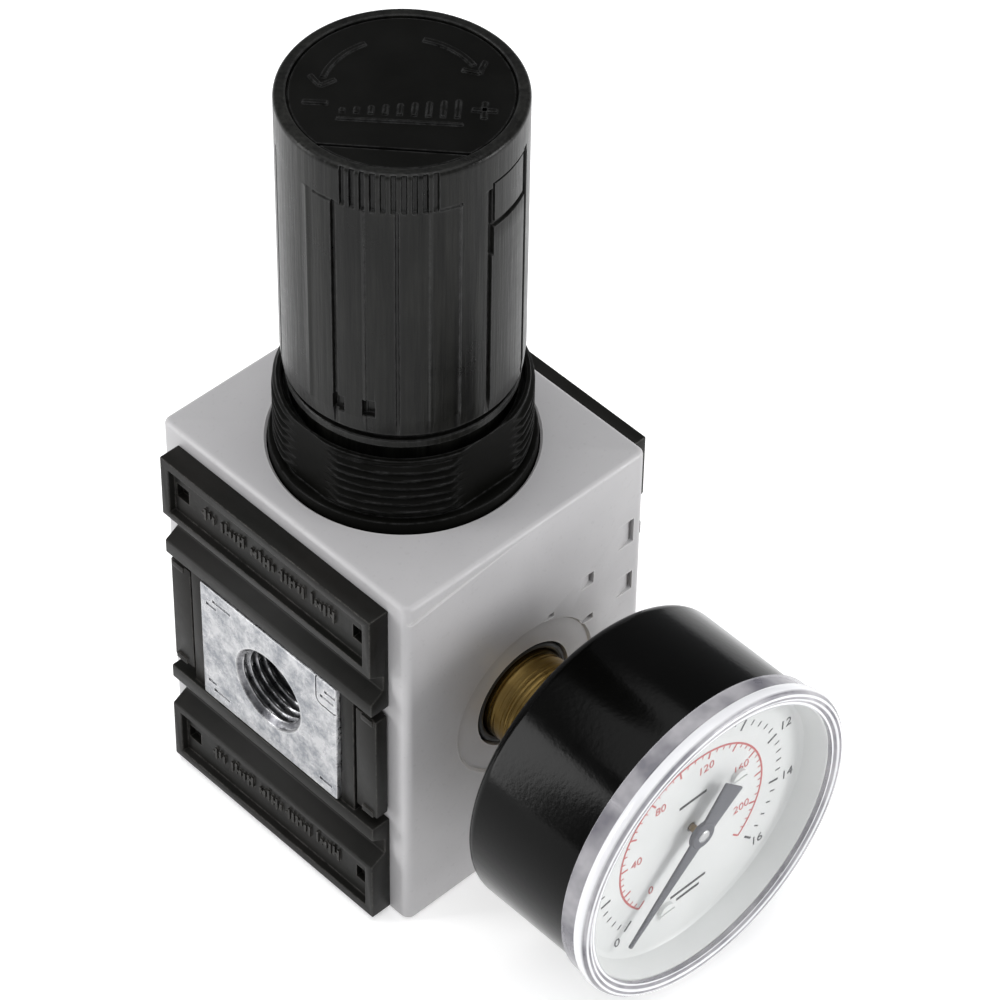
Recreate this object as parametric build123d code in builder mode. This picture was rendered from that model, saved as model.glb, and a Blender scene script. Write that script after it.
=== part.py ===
from build123d import *
from math import atan2, cos, degrees, hypot, pi, radians, sin
import os

# Pneumatic pressure regulator with a push-to-lock knob and a screwed-in dial gauge.
# Millimetres. X runs along the air flow (inlet at -X), -Y is the gauge side, +Z points up
# the knob. The origin is on the knob's axis, on the bottom face of the housing.

# ---- housing and ports ----
housing_w, housing_d, housing_h = 45.0, 50.1, 64.7
shell_wall = 2.2
shell_round, shell_top_chamfer = 1.2, 0.7
fit_gap = 0.2                  # between moulded covers and what they enclose
port_z = 31.35                 # height of the in, out and gauge ports
port_span = 51.8               # over the two metal port faces
port_minor_r = 5.7225          # G1/4 female thread, minor radius
port_mouth_r = 6.8             # countersink at the port's face
port_floor_x = 12.5            # where the thread ends, from the middle
boss_w, boss_h = 28.4, 23.0    # metal face that shows in the side frame
# ramped notches in the gauge side: left end, deep end, foot, top
notches = [(17.4, 20.5, 48.1, 52.6), (10.3, 12.9, 45.1, 47.4), (17.4, 20.6, 38.4, 42.0),
           (3.8, 5.3, 43.7, 44.6), (9.7, 13.0, 37.8, 38.9)]
notch_depth = 0.7
block_round = 1.0

# ---- valve bores inside the block ----
plug_bore_r, plug_bore_top = 11.0, 13.0
inlet_chamber_r, seat_z = 9.0, 26.0
seat_r, seat_web, seat_lip_w, seat_lip_h = 4.8, 3.0, 0.8, 0.6
outlet_chamber_r, outlet_chamber_top = 7.5, 41.0
guide_web, drain_r = 2.0, 1.0
passage_w, passage_low = 7.0, 17.0
drop_w, gallery_w = 4.0, 9.0   # inlet drop, and the galleries that meet the chambers
gauge_passage_r = 2.0
block_h = 46.0
diaphragm_chamber_r = 15.5

# ---- running fits ----
slide_fit = 0.06               # radial clearance of a shaft that turns or slides
loose_gap = 0.3                # between curved faces that move past each other

# ---- diaphragm group ----
diaphragm_r, diaphragm_t, diaphragm_rise = 18.6, 1.2, 1.4
plate_r, plate_t = 12.2, 1.5
relief_flange_r, relief_flange_t, relief_tube_r, relief_hole_r = 6.0, 1.4, 3.0, 1.2
retainer_t, retainer_r = 0.8, 5.2
valve_travel = 1.2

# ---- bonnet, collar and neck ----
flange_t = 3.0
bonnet_r, bonnet_base_r, base_lip = 18.0, 18.7, 1.5
collar_r, collar_flat, collar_top = 18.0, 17.15, housing_h + 12.2
collar_bore_r, collar_mouth_r, collar_mouth_depth = 15.7, 16.5, 1.5
collar_floor = housing_h + 5.3
neck_r, neck_bore_r, neck_cap_t = 14.2, 12.3, 3.5
neck_floor, neck_top = housing_h - 2.7, housing_h + 46.8
screw_x, screw_y, screw_r, screw_head_r, screw_len = 16.2, 18.7, 2.0, 3.4, 12.0

# ---- knob ----
knob_r, knob_top, knob_foot = 16.7, housing_h + 62.5, housing_h + 16.2
knob_travel = 2.5              # pushed down to lock
skirt_r, skirt_foot = 15.3, housing_h + 8.9
lip_r, lip_low, lip_high = 16.15, housing_h + 13.5, housing_h + 14.8
knob_bore_r, tooth_bore_r = 14.55, 15.2
cap_r, cap_t = 14.9, 2.5
arrow_r, arrow_depth = 9.6, 0.35
knob_round = 0.9
plank_top, plank_groove_w, plank_groove_depth = housing_h + 56.3, 0.5, 0.35
recess_depth, recess_low, recess_high = 0.6, housing_h + 44.7, housing_h + 57.5
recess_at, recess_half = -78.75, 11.25     # degrees from +X
tooth_count, tooth_deg, tooth_h = 24, 5.0, 2.2
tooth_proud, tooth_drop = 0.7, 4.0         # lock teeth on the neck
tooth_lift, tooth_room = 0.5, 10.0         # lock teeth in the knob, and the room for them

# ---- spindle, nut and springs ----
thread_r, journal_r, spindle_foot = 4.0, 5.0, housing_h + 5.3
spindle_flange_r, spindle_flange_t, thrust_t = 8.5, 3.0, 1.0
hex_af, hub_t = 8.0, 3.5
spindle_screw_r, spindle_screw_len, spindle_head_r, spindle_head_t = 2.0, 7.5, 3.8, 2.4
washer_r, washer_t = 6.0, 1.0
nut_r, nut_t, nut_foot, nut_pilot_h = 11.9, 8.0, housing_h + 23.3, 4.0
lug_r, lug_w = 13.0, 3.8
spring_r, spring_wire_r, spring_turns = 10.0, 1.45, 7.5
valve_spring_r, valve_spring_wire_r, valve_spring_turns = 4.2, 0.4, 6.0

# ---- valve ----
stem_r, poppet_r, poppet_t, disc_t = 1.5, 6.3, 4.0, 1.0
poppet_tail_r, plug_top, plug_foot, plug_floor = 2.4, 12.0, 0.5, 3.0
o_ring_r = 0.85
slot_len, slot_w, slot_depth = 16.0, 2.2, 1.6   # screwdriver slot of the plug

# ---- side frames ----
frame_proud, lip_proud, post_proud, groove_proud = 3.5, 3.3, 2.6, 1.0
frame_d, frame_h = 42.9, 61.8
block_in, groove_mouth_in = 19.85, 14.25   # half-heights where the dovetail opens
groove_floor_out, groove_floor_in, lip_in = 18.45, 15.65, 12.05
trough_rim, trough_low, trough_depth = 1.6, 1.2, 1.2
pocket_w, pocket_h, pocket_depth = 3.0, 2.6, 2.2
latch_w, latch_gap, latch_slot = 4.15, 0.35, 2.0
tab_w, tab_h, tab_reach = 4.0, 2.6, 2.0
tab_in_y, tab_in_z = 3.5, 7.5     # tab centres, from the frame's outer edges
bridge_w, bridge_h, bridge_t = 1.35, 6.0, 1.2
frame_window_gap = 0.15

# ---- gauge ----
stem_neck_r, gauge_shank_r = 7.2, 5.66
stem_in = 12.0                             # how far the shank reaches inside the port
gauge_back = 38.2                          # distances are from the knob's axis, along -Y
gauge_front = gauge_back + 24.8
case_r, case_wall, case_round, case_front = 24.2, 1.0, 1.8, gauge_back + 22.5
window_r, window_skirt, window_t = 25.3, 5.0, 1.1
stem_collar_r, wrench_af, wrench_len = 7.0, 14.0, 4.0
socket_flange_r, socket_flange_t, socket_w, socket_len = 9.0, 1.6, 9.0, 10.0
seal_r, seal_bore_r, seal_t = 8.4, 7.3, 1.9
shell_port_r, shell_pad_r, shell_pad_depth = 8.7, 13.0, 0.4
tube_r, tube_w, tube_t, tube_start, tube_sweep = 15.5, 4.6, 1.8, 12.0, 250.0
plate_gap, rear_plate_t, front_plate_t = 3.0, 1.0, 0.8
plate_w, plate_h, plate_mid = 15.5, 21.0, (2.25, -5.5)
gear_centres, pinion_tip_r, pinion_root_r, pinion_teeth = 12.0, 1.97, 1.45, 10
sector_tip_r, sector_root_r, sector_teeth = 9.97, 9.3, 50
sector_from, sector_to, gear_t = 55.0, 121.0, 1.0
pivot_r, arbor_r, link_pin_r = 0.7, 0.6, 0.5
sector_lean, tail_deg, tail_len = 25.0, -27.0, 4.0
link_t, link_w = 0.6, 1.8
post_r, movement_screw_r = 1.4, 0.9
dial_r, dial_t, dial_back, dial_bore_r = 23.15, 0.5, gauge_back + 19.3, 1.6
dial_wall_r, dial_face_r, dial_rim_front = 22.6, 21.4, gauge_back + 23.6
pointer_t, pointer_back, pointer_hub_r = 0.4, gauge_back + 21.7, 2.2
pointer_len, pointer_tail = 18.8, 8.3
pointer_zero = 225.0                       # degrees from +X, seen from the front

# ---- derived places ----
block_w = housing_w - 2 * (shell_wall + fit_gap)
block_d = housing_d - 2 * (shell_wall + fit_gap)
chamber_floor = outlet_chamber_top + guide_web
diaphragm_top = block_h + diaphragm_t
flange_top = diaphragm_top + flange_t
plate_top = diaphragm_top + plate_t
neck_cap_low = neck_top - neck_cap_t
hub_low = neck_top + knob_travel + 0.5
hub_top = hub_low + hub_t
spindle_top = hub_top + 0.2
head_low = spindle_top + washer_t
cap_low = knob_top - cap_t
disc_top = seat_z - seat_lip_h
poppet_top = disc_top - disc_t
poppet_low = poppet_top - poppet_t
half_window_y = boss_w / 2 + frame_window_gap
half_window_z = boss_h / 2 + frame_window_gap
dial_front = dial_back + dial_t
rear_plate_y = gauge_back + socket_flange_t + socket_len
front_plate_y = rear_plate_y + rear_plate_t + plate_gap
gear_y = rear_plate_y + rear_plate_t + (plate_gap - gear_t) / 2
tube_y = gauge_back + socket_flange_t + socket_len / 2
sector_x = gear_centres * sin(radians(sector_lean))
sector_z = -gear_centres * cos(radians(sector_lean))
tail_x = sector_x + tail_len * cos(radians(tail_deg))
tail_z = sector_z + tail_len * sin(radians(tail_deg))
tip_x = tube_r * sin(radians(tube_start + tube_sweep - 180.0))
tip_z = tube_r * cos(radians(tube_start + tube_sweep - 180.0))
lug_x, lug_z = tip_x, tip_z - 1.75            # soldered lug just past the tube's end
post_places = [(8.8, 3.6), (-4.4, -14.2)]
movement_screw_places = [(-2.9, 2.9), (2.9, 2.9)]

# Sketch planes that look along -Y from the knob's axis, centred on the gauge's axis.
def gauge_plane(distance):
    return Plane(origin=(0, -distance, port_z), x_dir=(1, 0, 0), z_dir=(0, -1, 0))


def save(part, name):
    part.label = name
    export_step(part, "parts/" + name + ".step")


os.makedirs("parts", exist_ok=True)

# ================= body block =================
with BuildPart() as body_block:
    with BuildSketch():
        RectangleRounded(block_w, block_d, block_round)
    extrude(amount=block_h)
    with BuildSketch(Plane.YZ.offset(-port_span / 2)):
        with Locations((0, port_z)):
            Rectangle(boss_w, boss_h)
    extrude(amount=port_span)
    chamfer(body_block.faces().filter_by(Axis.X).sort_by(Axis.X)[0].edges(), 0.4)
    chamfer(body_block.faces().filter_by(Axis.X).sort_by(Axis.X)[-1].edges(), 0.4)
    # stepped bore from below: plug seat, inlet chamber, valve seat
    with BuildSketch():
        Circle(plug_bore_r)
    extrude(amount=plug_bore_top, mode=Mode.SUBTRACT)
    with BuildSketch(Plane.XY.offset(plug_bore_top)):
        Circle(inlet_chamber_r)
    extrude(amount=seat_z - plug_bore_top, mode=Mode.SUBTRACT)
    with BuildSketch(Plane.XY.offset(disc_top)):
        Circle(seat_r + seat_lip_w)
    extrude(amount=seat_lip_h)
    with BuildSketch(Plane.XY.offset(disc_top)):
        Circle(seat_r)
    extrude(amount=seat_lip_h + seat_web, mode=Mode.SUBTRACT)
    # outlet chamber, stem guide and diaphragm chamber
    with BuildSketch(Plane.XY.offset(seat_z + seat_web)):
        Circle(outlet_chamber_r)
    extrude(amount=outlet_chamber_top - seat_z - seat_web, mode=Mode.SUBTRACT)
    with BuildSketch(Plane.XY.offset(outlet_chamber_top)):
        Circle(stem_r + slide_fit)
        with Locations((outlet_chamber_r - 2 * drain_r, 0)):
            Circle(drain_r)
    extrude(amount=guide_web, mode=Mode.SUBTRACT)
    with BuildSketch(Plane.XY.offset(chamber_floor)):
        Circle(diaphragm_chamber_r)
    extrude(amount=block_h - chamber_floor, mode=Mode.SUBTRACT)
    # in and out ports, each with a drop or rise into its chamber
    for side in (-1, 1):
        mouth = Plane(origin=(side * port_span / 2, 0, port_z), z_dir=(-side, 0, 0))
        with BuildSketch(mouth):
            Circle(port_minor_r)
        extrude(amount=port_span / 2 - port_floor_x, mode=Mode.SUBTRACT)
        with BuildSketch(mouth):
            Circle(port_mouth_r)
        extrude(amount=port_mouth_r - port_minor_r, taper=45, mode=Mode.SUBTRACT)
    with BuildSketch(Plane.XY.offset(passage_low)):
        with Locations((-port_floor_x - drop_w / 2, 0)):
            Rectangle(drop_w, passage_w)
    extrude(amount=port_z - passage_low, mode=Mode.SUBTRACT)
    with BuildSketch(Plane.XY.offset(passage_low)):
        with Locations((-port_floor_x + drop_w / 2, 0)):
            Rectangle(gallery_w, passage_w)
    extrude(amount=seat_z - passage_low, mode=Mode.SUBTRACT)
    with BuildSketch(Plane.XY.offset(port_z)):
        with Locations((port_floor_x - drop_w / 2, 0)):
            Rectangle(gallery_w, passage_w)
    extrude(amount=port_minor_r, mode=Mode.SUBTRACT)
    # gauge ports front and rear, with small passages to the outlet chamber
    for side in (-1, 1):
        mouth = Plane(origin=(0, side * block_d / 2, port_z), z_dir=(0, -side, 0))
        with BuildSketch(mouth):
            Circle(port_minor_r)
        extrude(amount=block_d / 2 - port_floor_x + 2.0, mode=Mode.SUBTRACT)
        with BuildSketch(mouth):
            Circle(gauge_passage_r)
        extrude(amount=block_d / 2 - outlet_chamber_r + 2.0, mode=Mode.SUBTRACT)
    # tapped holes for the bonnet screws
    with BuildSketch(Plane.XY.offset(block_h - screw_len)):
        with GridLocations(2 * screw_x, 2 * screw_y, 2, 2):
            Circle(screw_r + 0.02)
    extrude(amount=screw_len, mode=Mode.SUBTRACT)
save(body_block.part, "body_block")

# ================= housing shell =================
with BuildPart() as housing_shell:
    with BuildSketch():
        Rectangle(housing_w, housing_d)
    extrude(amount=housing_h)
    fillet(housing_shell.edges().filter_by(Axis.Z), shell_round)
    chamfer(housing_shell.faces().sort_by(Axis.Z)[-1].edges(), shell_top_chamfer)
    with BuildSketch():
        RectangleRounded(housing_w - 2 * shell_wall, housing_d - 2 * shell_wall, block_round)
    extrude(amount=housing_h - shell_wall, mode=Mode.SUBTRACT)
    with BuildSketch(Plane.XY.offset(housing_h - shell_wall)):
        Circle(bonnet_base_r + fit_gap)
    extrude(amount=shell_wall, mode=Mode.SUBTRACT)
    with BuildSketch(Plane.YZ.offset(-housing_w / 2)):
        with Locations((0, port_z)):
            Rectangle(boss_w + 2 * fit_gap, boss_h + 2 * fit_gap)
            with GridLocations(frame_d - 2 * tab_in_y, frame_h - 2 * tab_in_z, 2, 2):
                Rectangle(tab_w + 2 * fit_gap, tab_h + 2 * fit_gap)
    extrude(amount=housing_w, mode=Mode.SUBTRACT)
    for side in (-1, 1):
        face = Plane(origin=(0, side * housing_d / 2, port_z), z_dir=(0, -side, 0))
        with BuildSketch(face):
            Circle(shell_pad_r)
        extrude(amount=shell_pad_depth, mode=Mode.SUBTRACT)
        with BuildSketch(face):
            Circle(shell_port_r)
        extrude(amount=shell_wall, mode=Mode.SUBTRACT)
    # ramped notches beside the gauge port, deepest at their outlet end
    for left, deep, foot, top in notches:
        with BuildSketch(Plane.XY.offset(foot)):
            with BuildLine():
                Polyline((left, -housing_d / 2), (deep, -housing_d / 2),
                         (deep, notch_depth - housing_d / 2), close=True)
            make_face()
        extrude(amount=top - foot, mode=Mode.SUBTRACT)
save(housing_shell.part, "housing_shell")


# ================= side frames =================
def side_frame(side, name):
    """Black coupling frame clipped on one side; side is -1 at the inlet, 1 at the outlet."""
    wall = side * housing_w / 2
    outline = [(0.0, -frame_h / 2), (frame_proud, -frame_h / 2), (frame_proud, -block_in),
               (groove_proud, -groove_floor_out), (groove_proud, -groove_floor_in),
               (lip_proud, -groove_mouth_in), (lip_proud, -lip_in), (post_proud, -lip_in)]
    outline += [(x, -z) for x, z in reversed(outline)]
    with BuildPart() as frame:
        with BuildSketch(Plane(origin=(wall, frame_d / 2, port_z), x_dir=(side, 0, 0),
                               z_dir=(0, -side, 0) if side > 0 else (0, 1, 0))):
            with BuildLine():
                Polyline(*outline, close=True)
            make_face()
        extrude(amount=frame_d if side > 0 else -frame_d)
        face = Plane(origin=(wall + side * frame_proud, 0, port_z), x_dir=(0, 1, 0),
                     z_dir=(side, 0, 0))
        # window round the metal port face
        with BuildSketch(face):
            Rectangle(2 * half_window_y, 2 * half_window_z)
        extrude(amount=-frame_proud, mode=Mode.SUBTRACT)
        # troughs along the two end blocks, with a deeper pocket at each end
        trough_h = frame_h / 2 - trough_rim - block_in - trough_low
        trough_mid = block_in + trough_low + trough_h / 2
        with BuildSketch(face):
            with GridLocations(0, 2 * trough_mid, 1, 2):
                Rectangle(frame_d - 2 * trough_rim, trough_h)
        extrude(amount=-trough_depth, mode=Mode.SUBTRACT)
        with BuildSketch(face.offset(-trough_depth)):
            with GridLocations(frame_d - 2 * trough_rim - 2 * pocket_w, 2 * trough_mid, 2, 2):
                Rectangle(pocket_w, pocket_h)
        extrude(amount=-(pocket_depth - trough_depth), mode=Mode.SUBTRACT)
        # slots that free the spring latches on the outer edge of each post
        with BuildSketch(face):
            with GridLocations(frame_d - latch_w, 2 * lip_in - latch_slot, 2, 2):
                Rectangle(latch_w, latch_slot)
            with GridLocations(frame_d - 2 * latch_w - latch_gap, 0, 2, 1):
                Rectangle(latch_gap, 2 * lip_in)
        extrude(amount=-frame_proud, mode=Mode.SUBTRACT)
        # short bridges that carry the latches, and clip tabs into the housing wall
        with BuildSketch(Plane(origin=(wall, 0, port_z), x_dir=(0, 1, 0), z_dir=(side, 0, 0))):
            with GridLocations(frame_d - 2 * latch_w - latch_gap, 0, 2, 1):
                Rectangle(bridge_w, bridge_h)
        extrude(amount=bridge_t)
        with BuildSketch(Plane(origin=(wall, 0, port_z), x_dir=(0, 1, 0), z_dir=(-side, 0, 0))):
            with GridLocations(frame_d - 2 * tab_in_y, frame_h - 2 * tab_in_z, 2, 2):
                Rectangle(tab_w, tab_h)
        extrude(amount=tab_reach)
    save(frame.part, name)
    return frame.part


inlet_side_frame = side_frame(-1, "inlet_side_frame")
outlet_side_frame = side_frame(1, "outlet_side_frame")

# ================= bonnet with threaded collar and neck =================
with BuildPart() as bonnet:
    with BuildSketch(Plane.XY.offset(diaphragm_top)):
        RectangleRounded(block_w, block_d, block_round)
    extrude(amount=flange_t)
    with BuildSketch(Plane.XY.offset(flange_top)):
        Circle(bonnet_r)
    extrude(amount=housing_h - shell_wall - flange_top)
    with BuildSketch(Plane.XY.offset(housing_h - shell_wall)):
        Circle(bonnet_base_r)
    extrude(amount=shell_wall + base_lip)
    chamfer(bonnet.faces().sort_by(Axis.Z)[-1].edges(), 0.5)
    # collar: screw thread at its outer size, cut by four flats
    with BuildSketch(Plane.XY.offset(housing_h + base_lip)):
        Circle(collar_r)
        Rectangle(2 * collar_flat, 2 * collar_flat, mode=Mode.INTERSECT)
    extrude(amount=collar_top - housing_h - base_lip)
    with BuildSketch(Plane.XY.offset(collar_floor)):
        Circle(collar_bore_r)
    extrude(amount=collar_top - collar_floor, mode=Mode.SUBTRACT)
    with BuildSketch(Plane.XY.offset(collar_top - collar_mouth_depth)):
        Circle(collar_mouth_r)
    extrude(amount=collar_mouth_depth, mode=Mode.SUBTRACT)
    # neck that guides the knob and holds the spindle
    with BuildSketch(Plane.XY.offset(collar_floor - 2.0)):
        Circle(neck_r)
    extrude(amount=neck_top - collar_floor + 2.0)
    chamfer(bonnet.faces().sort_by(Axis.Z)[-1].edges(), 0.5)
    # lock teeth round the neck
    with BuildSketch(Plane.XY.offset(neck_top - tooth_drop)):
        with PolarLocations(neck_r, tooth_count, start_angle=180.0 / tooth_count):
            Rectangle(2 * tooth_proud, 2 * neck_r * sin(radians(tooth_deg / 2)))
    extrude(amount=-2 * tooth_h)
    # spring space, neck bore, guide grooves for the nut and the spindle bore
    with BuildSketch(Plane.XY.offset(diaphragm_top)):
        Circle(diaphragm_chamber_r)
    extrude(amount=neck_floor - diaphragm_top, mode=Mode.SUBTRACT)
    with BuildSketch(Plane.XY.offset(neck_floor)):
        Circle(neck_bore_r)
    extrude(amount=neck_cap_low - neck_floor, mode=Mode.SUBTRACT)
    with BuildSketch(Plane.XY.offset(neck_floor)):
        with PolarLocations((lug_r + loose_gap) / 2, 2, start_angle=90):
            Rectangle(lug_r + loose_gap, lug_w + 2 * loose_gap)
    extrude(amount=nut_foot + nut_t + 1.0 - neck_floor, mode=Mode.SUBTRACT)
    with BuildSketch(Plane.XY.offset(neck_cap_low)):
        Circle(journal_r + slide_fit)
    extrude(amount=neck_cap_t, mode=Mode.SUBTRACT)
    with BuildSketch(Plane.XY.offset(diaphragm_top)):
        with GridLocations(2 * screw_x, 2 * screw_y, 2, 2):
            Circle(screw_r + 0.25)
    extrude(amount=flange_t, mode=Mode.SUBTRACT)
save(bonnet.part, "bonnet")

# ================= bonnet screws =================
with BuildPart() as bonnet_screws:
    with BuildSketch(Plane.XY.offset(block_h - screw_len + 1.0)):
        with GridLocations(2 * screw_x, 2 * screw_y, 2, 2):
            Circle(screw_r)
    extrude(amount=screw_len - 1.0 + flange_top - block_h)
    with BuildSketch(Plane.XY.offset(flange_top)):
        with GridLocations(2 * screw_x, 2 * screw_y, 2, 2):
            Circle(screw_head_r)
    extrude(amount=2 * screw_r)
    with BuildSketch(Plane.XY.offset(flange_top + 2 * screw_r)):
        with GridLocations(2 * screw_x, 2 * screw_y, 2, 2):
            RegularPolygon(1.5, 6, major_radius=False)
    extrude(amount=-2.0, mode=Mode.SUBTRACT)
save(bonnet_screws.part, "bonnet_screws")

# ================= knob =================
with BuildPart() as knob:
    with BuildSketch(Plane.XZ):
        with BuildLine():
            Polyline((knob_bore_r, skirt_foot), (skirt_r, skirt_foot), (skirt_r, lip_low),
                     (lip_r, lip_low), (lip_r, lip_high), (skirt_r, lip_high),
                     (skirt_r, knob_foot), (knob_r, knob_foot), (knob_r, knob_top - knob_round))
            RadiusArc((knob_r, knob_top - knob_round), (knob_r - knob_round, knob_top),
                      -knob_round)
            Polyline((knob_r - knob_round, knob_top), (cap_r + 0.1, knob_top),
                     (cap_r + 0.1, cap_low), (cap_r - 1.9, cap_low), (cap_r - 1.9, hub_top),
                     (0, hub_top), (0, hub_low), (tooth_bore_r, hub_low),
                     (tooth_bore_r, neck_top - tooth_room),
                     (knob_bore_r, neck_top - tooth_room - 0.7),
                     (knob_bore_r, skirt_foot))
        make_face()
    revolve(axis=Axis.Z)
    with BuildSketch(Plane.XY.offset(hub_low)):
        RegularPolygon(hex_af / 2 + slide_fit, 6, major_radius=False)
    extrude(amount=hub_t, mode=Mode.SUBTRACT)
    # lock teeth inside, clear above the neck's teeth until the knob is pushed down
    with BuildSketch(Plane.XY.offset(neck_top - tooth_drop + tooth_lift)):
        with PolarLocations(tooth_bore_r, tooth_count):
            Rectangle(2 * tooth_proud, 2 * neck_r * sin(radians(tooth_deg / 2)))
    extrude(amount=tooth_h)
    # grooves between the planks of the grip
    with BuildSketch(Plane.XY.offset(knob_foot)):
        with PolarLocations(knob_r, tooth_count):
            Rectangle(2 * plank_groove_depth, plank_groove_w)
    extrude(amount=plank_top - knob_foot, mode=Mode.SUBTRACT)
    # the two snap recesses under the rim
    with BuildSketch(Plane.XY.offset(recess_low)):
        with PolarLocations(knob_r, 2, start_angle=recess_at):
            Rectangle(2 * recess_depth, 2 * knob_r * sin(radians(recess_half)))
    extrude(amount=recess_high - recess_low, mode=Mode.SUBTRACT)
save(knob.part, "knob")

# ================= knob cap =================
with BuildPart() as knob_cap:
    with BuildSketch(Plane.XY.offset(cap_low)):
        Circle(cap_r)
    extrude(amount=cap_t)
    # moulded turning mark
    with BuildSketch(Plane.XY.offset(knob_top)):
        SlotArc(CenterArc((0, 0), arrow_r, 25, 130, mode=Mode.PRIVATE), 1.0)
    extrude(amount=-arrow_depth, mode=Mode.SUBTRACT)
save(knob_cap.part, "knob_cap")

# ================= spindle and its washers =================
with BuildPart() as spindle:
    with BuildSketch(Plane.XY.offset(spindle_foot)):
        Circle(thread_r)
    extrude(amount=neck_cap_low - spindle_foot)
    with BuildSketch(Plane.XY.offset(neck_cap_low - thrust_t - 0.1)):
        Circle(spindle_flange_r)
    extrude(amount=-spindle_flange_t)
    with BuildSketch(Plane.XY.offset(neck_cap_low - thrust_t - 0.1)):
        Circle(journal_r)
    extrude(amount=neck_cap_t + thrust_t + 0.1)
    with BuildSketch(Plane.XY.offset(neck_top)):
        RegularPolygon(hex_af / 2, 6, major_radius=False)
    extrude(amount=spindle_top - neck_top)
    with BuildSketch(Plane.XY.offset(spindle_top)):
        Circle(spindle_screw_r + 0.02)
    extrude(amount=-spindle_screw_len, mode=Mode.SUBTRACT)
save(spindle.part, "spindle")

with BuildPart() as thrust_washer:
    with BuildSketch(Plane.XY.offset(neck_cap_low - thrust_t)):
        Circle(spindle_flange_r)
        Circle(journal_r + loose_gap, mode=Mode.SUBTRACT)
    extrude(amount=thrust_t)
save(thrust_washer.part, "thrust_washer")

with BuildPart() as spindle_washer:
    with BuildSketch(Plane.XY.offset(spindle_top)):
        Circle(washer_r)
        Circle(spindle_screw_r + 0.2, mode=Mode.SUBTRACT)
    extrude(amount=washer_t)
save(spindle_washer.part, "spindle_washer")

with BuildPart() as spindle_screw:
    with BuildSketch(Plane.XY.offset(head_low)):
        Circle(spindle_head_r)
    extrude(amount=spindle_head_t)
    fillet(spindle_screw.faces().sort_by(Axis.Z)[-1].edges(), 0.8)
    with BuildSketch(Plane.XY.offset(head_low)):
        Circle(spindle_screw_r)
    extrude(amount=-(washer_t + spindle_screw_len - 0.5))
    with BuildSketch(Plane.XY.offset(head_low + spindle_head_t)):
        Rectangle(4.4, 0.9)
        Rectangle(0.9, 4.4)
    extrude(amount=-1.2, mode=Mode.SUBTRACT)
save(spindle_screw.part, "spindle_screw")

# ================= spring nut =================
with BuildPart() as spring_nut:
    with BuildSketch(Plane.XY.offset(nut_foot)):
        Circle(nut_r)
        with PolarLocations(lug_r / 2, 2, start_angle=90):
            Rectangle(lug_r, lug_w)
    extrude(amount=nut_t)
    with BuildSketch(Plane.XY.offset(nut_foot)):
        Circle(spring_r - spring_wire_r - loose_gap)
    extrude(amount=-nut_pilot_h)
    with BuildSketch(Plane.XY.offset(nut_foot - nut_pilot_h)):
        Circle(thread_r + slide_fit)
    extrude(amount=nut_t + nut_pilot_h, mode=Mode.SUBTRACT)
save(spring_nut.part, "spring_nut")


# ================= coil springs =================
def coil(low, high, mean_r, wire_r, turns, name):
    """Round-wire coil spring standing between two flat seats."""
    wire_low = low + wire_r
    span = high - low - 2 * wire_r
    with BuildPart() as spring:
        with BuildLine():
            Helix(pitch=span / turns, height=span, radius=mean_r, center=(0, 0, wire_low))
        with BuildSketch(Plane(origin=(mean_r, 0, wire_low), x_dir=(1, 0, 0),
                               z_dir=(0, 2 * pi * mean_r, span / turns))):
            Circle(wire_r)
        sweep(is_frenet=True)
    save(spring.part, name)
    return spring.part


control_spring = coil(plate_top, nut_foot, spring_r, spring_wire_r, spring_turns,
                      "control_spring")
valve_spring = coil(plug_top, poppet_low, valve_spring_r, valve_spring_wire_r,
                    valve_spring_turns, "valve_spring")

# ================= diaphragm group =================
with BuildPart() as diaphragm:
    inner, outer = plate_r + 0.4, diaphragm_chamber_r - 0.3
    crest = (inner + outer) / 2
    with BuildSketch(Plane.XZ):
        with BuildLine():
            Polyline((relief_tube_r + 0.05, block_h), (inner, block_h),
                     (crest, block_h + diaphragm_rise), (outer, block_h),
                     (diaphragm_r, block_h), (diaphragm_r, diaphragm_top),
                     (outer, diaphragm_top), (crest, diaphragm_top + diaphragm_rise),
                     (inner, diaphragm_top), (relief_tube_r + 0.05, diaphragm_top), close=True)
        make_face()
    revolve(axis=Axis.Z)
save(diaphragm.part, "diaphragm")

with BuildPart() as diaphragm_plate:
    pilot_r = spring_r - spring_wire_r - loose_gap
    with BuildSketch(Plane.XY.offset(diaphragm_top)):
        Circle(plate_r)
    extrude(amount=plate_t)
    with BuildSketch(Plane.XY.offset(plate_top)):
        Circle(pilot_r)
        Circle(retainer_r + loose_gap, mode=Mode.SUBTRACT)
    extrude(amount=3.3)
    with BuildSketch(Plane.XY.offset(diaphragm_top)):
        Circle(relief_tube_r + 0.05)
    extrude(amount=plate_t, mode=Mode.SUBTRACT)
save(diaphragm_plate.part, "diaphragm_plate")

with BuildPart() as relief_seat:
    with BuildSketch(Plane.XY.offset(block_h)):
        Circle(relief_flange_r)
    extrude(amount=-relief_flange_t)
    with BuildSketch(Plane.XY.offset(block_h)):
        Circle(relief_tube_r)
    extrude(amount=diaphragm_t + plate_t + retainer_t + 0.4)
    with BuildSketch(Plane.XY.offset(block_h - relief_flange_t)):
        Circle(relief_hole_r)
    extrude(amount=relief_flange_t + diaphragm_t + plate_t + retainer_t + 0.4,
            mode=Mode.SUBTRACT)
save(relief_seat.part, "relief_seat")

with BuildPart() as relief_retainer:
    with BuildSketch(Plane.XY.offset(plate_top)):
        Circle(retainer_r)
        Circle(relief_tube_r + 0.05, mode=Mode.SUBTRACT)
    extrude(amount=retainer_t)
save(relief_retainer.part, "relief_retainer")

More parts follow.
